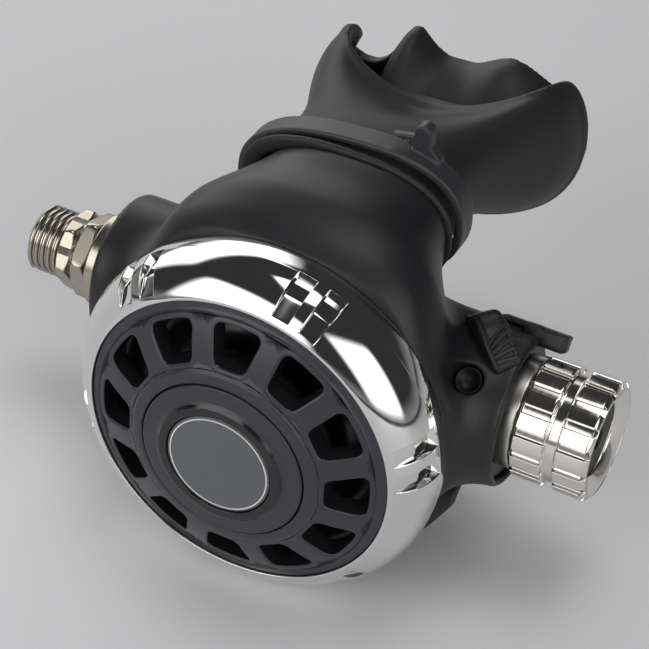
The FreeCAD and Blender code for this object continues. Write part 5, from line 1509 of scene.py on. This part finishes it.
# azimuth and elevation in degrees, distance, width and height in metres, radiance
studioLamps = {
    "leftBox": (246, 27, 1.2, 1.5, 1.0, 2.4), "rightBox": (328, 26, 1.2, 1.2, 1.15, 2.0),
    "backBox": (140, 26, 1.3, 1.9, 1.05, 2.0), "topBox": (30, 84, 1.3, 0.7, 0.7, 3.5),
}


def softbox(name, azimuth, elevation, distance, width, height, radiance):
    # lamp behind a diffuser, so that its light falls off towards its edges
    light = bpy.data.lights.new(name, "AREA")
    light.shape = "RECTANGLE"
    light.size = width
    light.size_y = height
    light.energy = radiance * math.pi * width * height
    light.use_nodes = True
    tree = light.node_tree
    emission = tree.nodes["Emission"]
    where = addNode(tree, "ShaderNodeNewGeometry").outputs["Parametric"]
    split = addNode(tree, "ShaderNodeSeparateXYZ", links={"Vector": where})
    sides = []
    for key in ("X", "Y"):
        off = addNode(tree, "ShaderNodeMath", settings={"operation": "SUBTRACT"}, values={1: 0.5},
                      links={0: split.outputs[key]})
        size = addNode(tree, "ShaderNodeMath", settings={"operation": "ABSOLUTE"},
                       links={0: off.outputs[0]})
        sides.append(addNode(tree, "ShaderNodeMapRange", settings={"interpolation_type": "SMOOTHSTEP"},
                             values={"From Min": 0.5, "From Max": 0.3, "To Min": 0.0, "To Max": 1.0},
                             links={"Value": size.outputs[0]}).outputs["Result"])
    both = addNode(tree, "ShaderNodeMath", settings={"operation": "MULTIPLY"},
                   links={0: sides[0], 1: sides[1]})
    tree.links.new(both.outputs[0], emission.inputs["Strength"])
    lamp = placeObject(name, light)
    a, e = math.radians(azimuth), math.radians(elevation)
    way = Vector((math.cos(e) * math.cos(a), math.cos(e) * math.sin(a), math.sin(e)))
    lamp.location = way * distance + Vector((0, 0, axisHeight))
    lamp.rotation_mode = "QUATERNION"
    lamp.rotation_quaternion = (-way).to_track_quat("-Z", "Y")
    lamp.visible_camera = False


for name, values in studioLamps.items():
    softbox(name, *values)

# camera solved from the photograph: its place in metres and its three directions
photoView = {
    "lens": 133.1, "sensor": 36.0, "clip": 0.01, "place": (0.1531, -0.3340, 0.2994 + axisHeight),
    "right": (0.8886, 0.4555, 0.0543), "up": (-0.3241, 0.5397, 0.777),
    "back": (0.3246, -0.7080, 0.6272),
}


def makeCamera(sizes):
    n = SimpleNamespace(**sizes)
    camera = bpy.data.cameras.new("photoCamera")
    camera.lens = n.lens
    camera.sensor_width = n.sensor
    camera.clip_start = n.clip
    photoCamera = placeObject("photoCamera", camera)
    turn = Matrix((n.right, n.up, n.back)).transposed().to_4x4()
    photoCamera.matrix_world = Matrix.Translation(n.place) @ turn
    bpy.context.scene.camera = photoCamera


makeCamera(photoView)
bpy.context.scene.view_settings.view_transform = "Standard"
print("stage, lights and camera set")

bpy.context.view_layer.update()
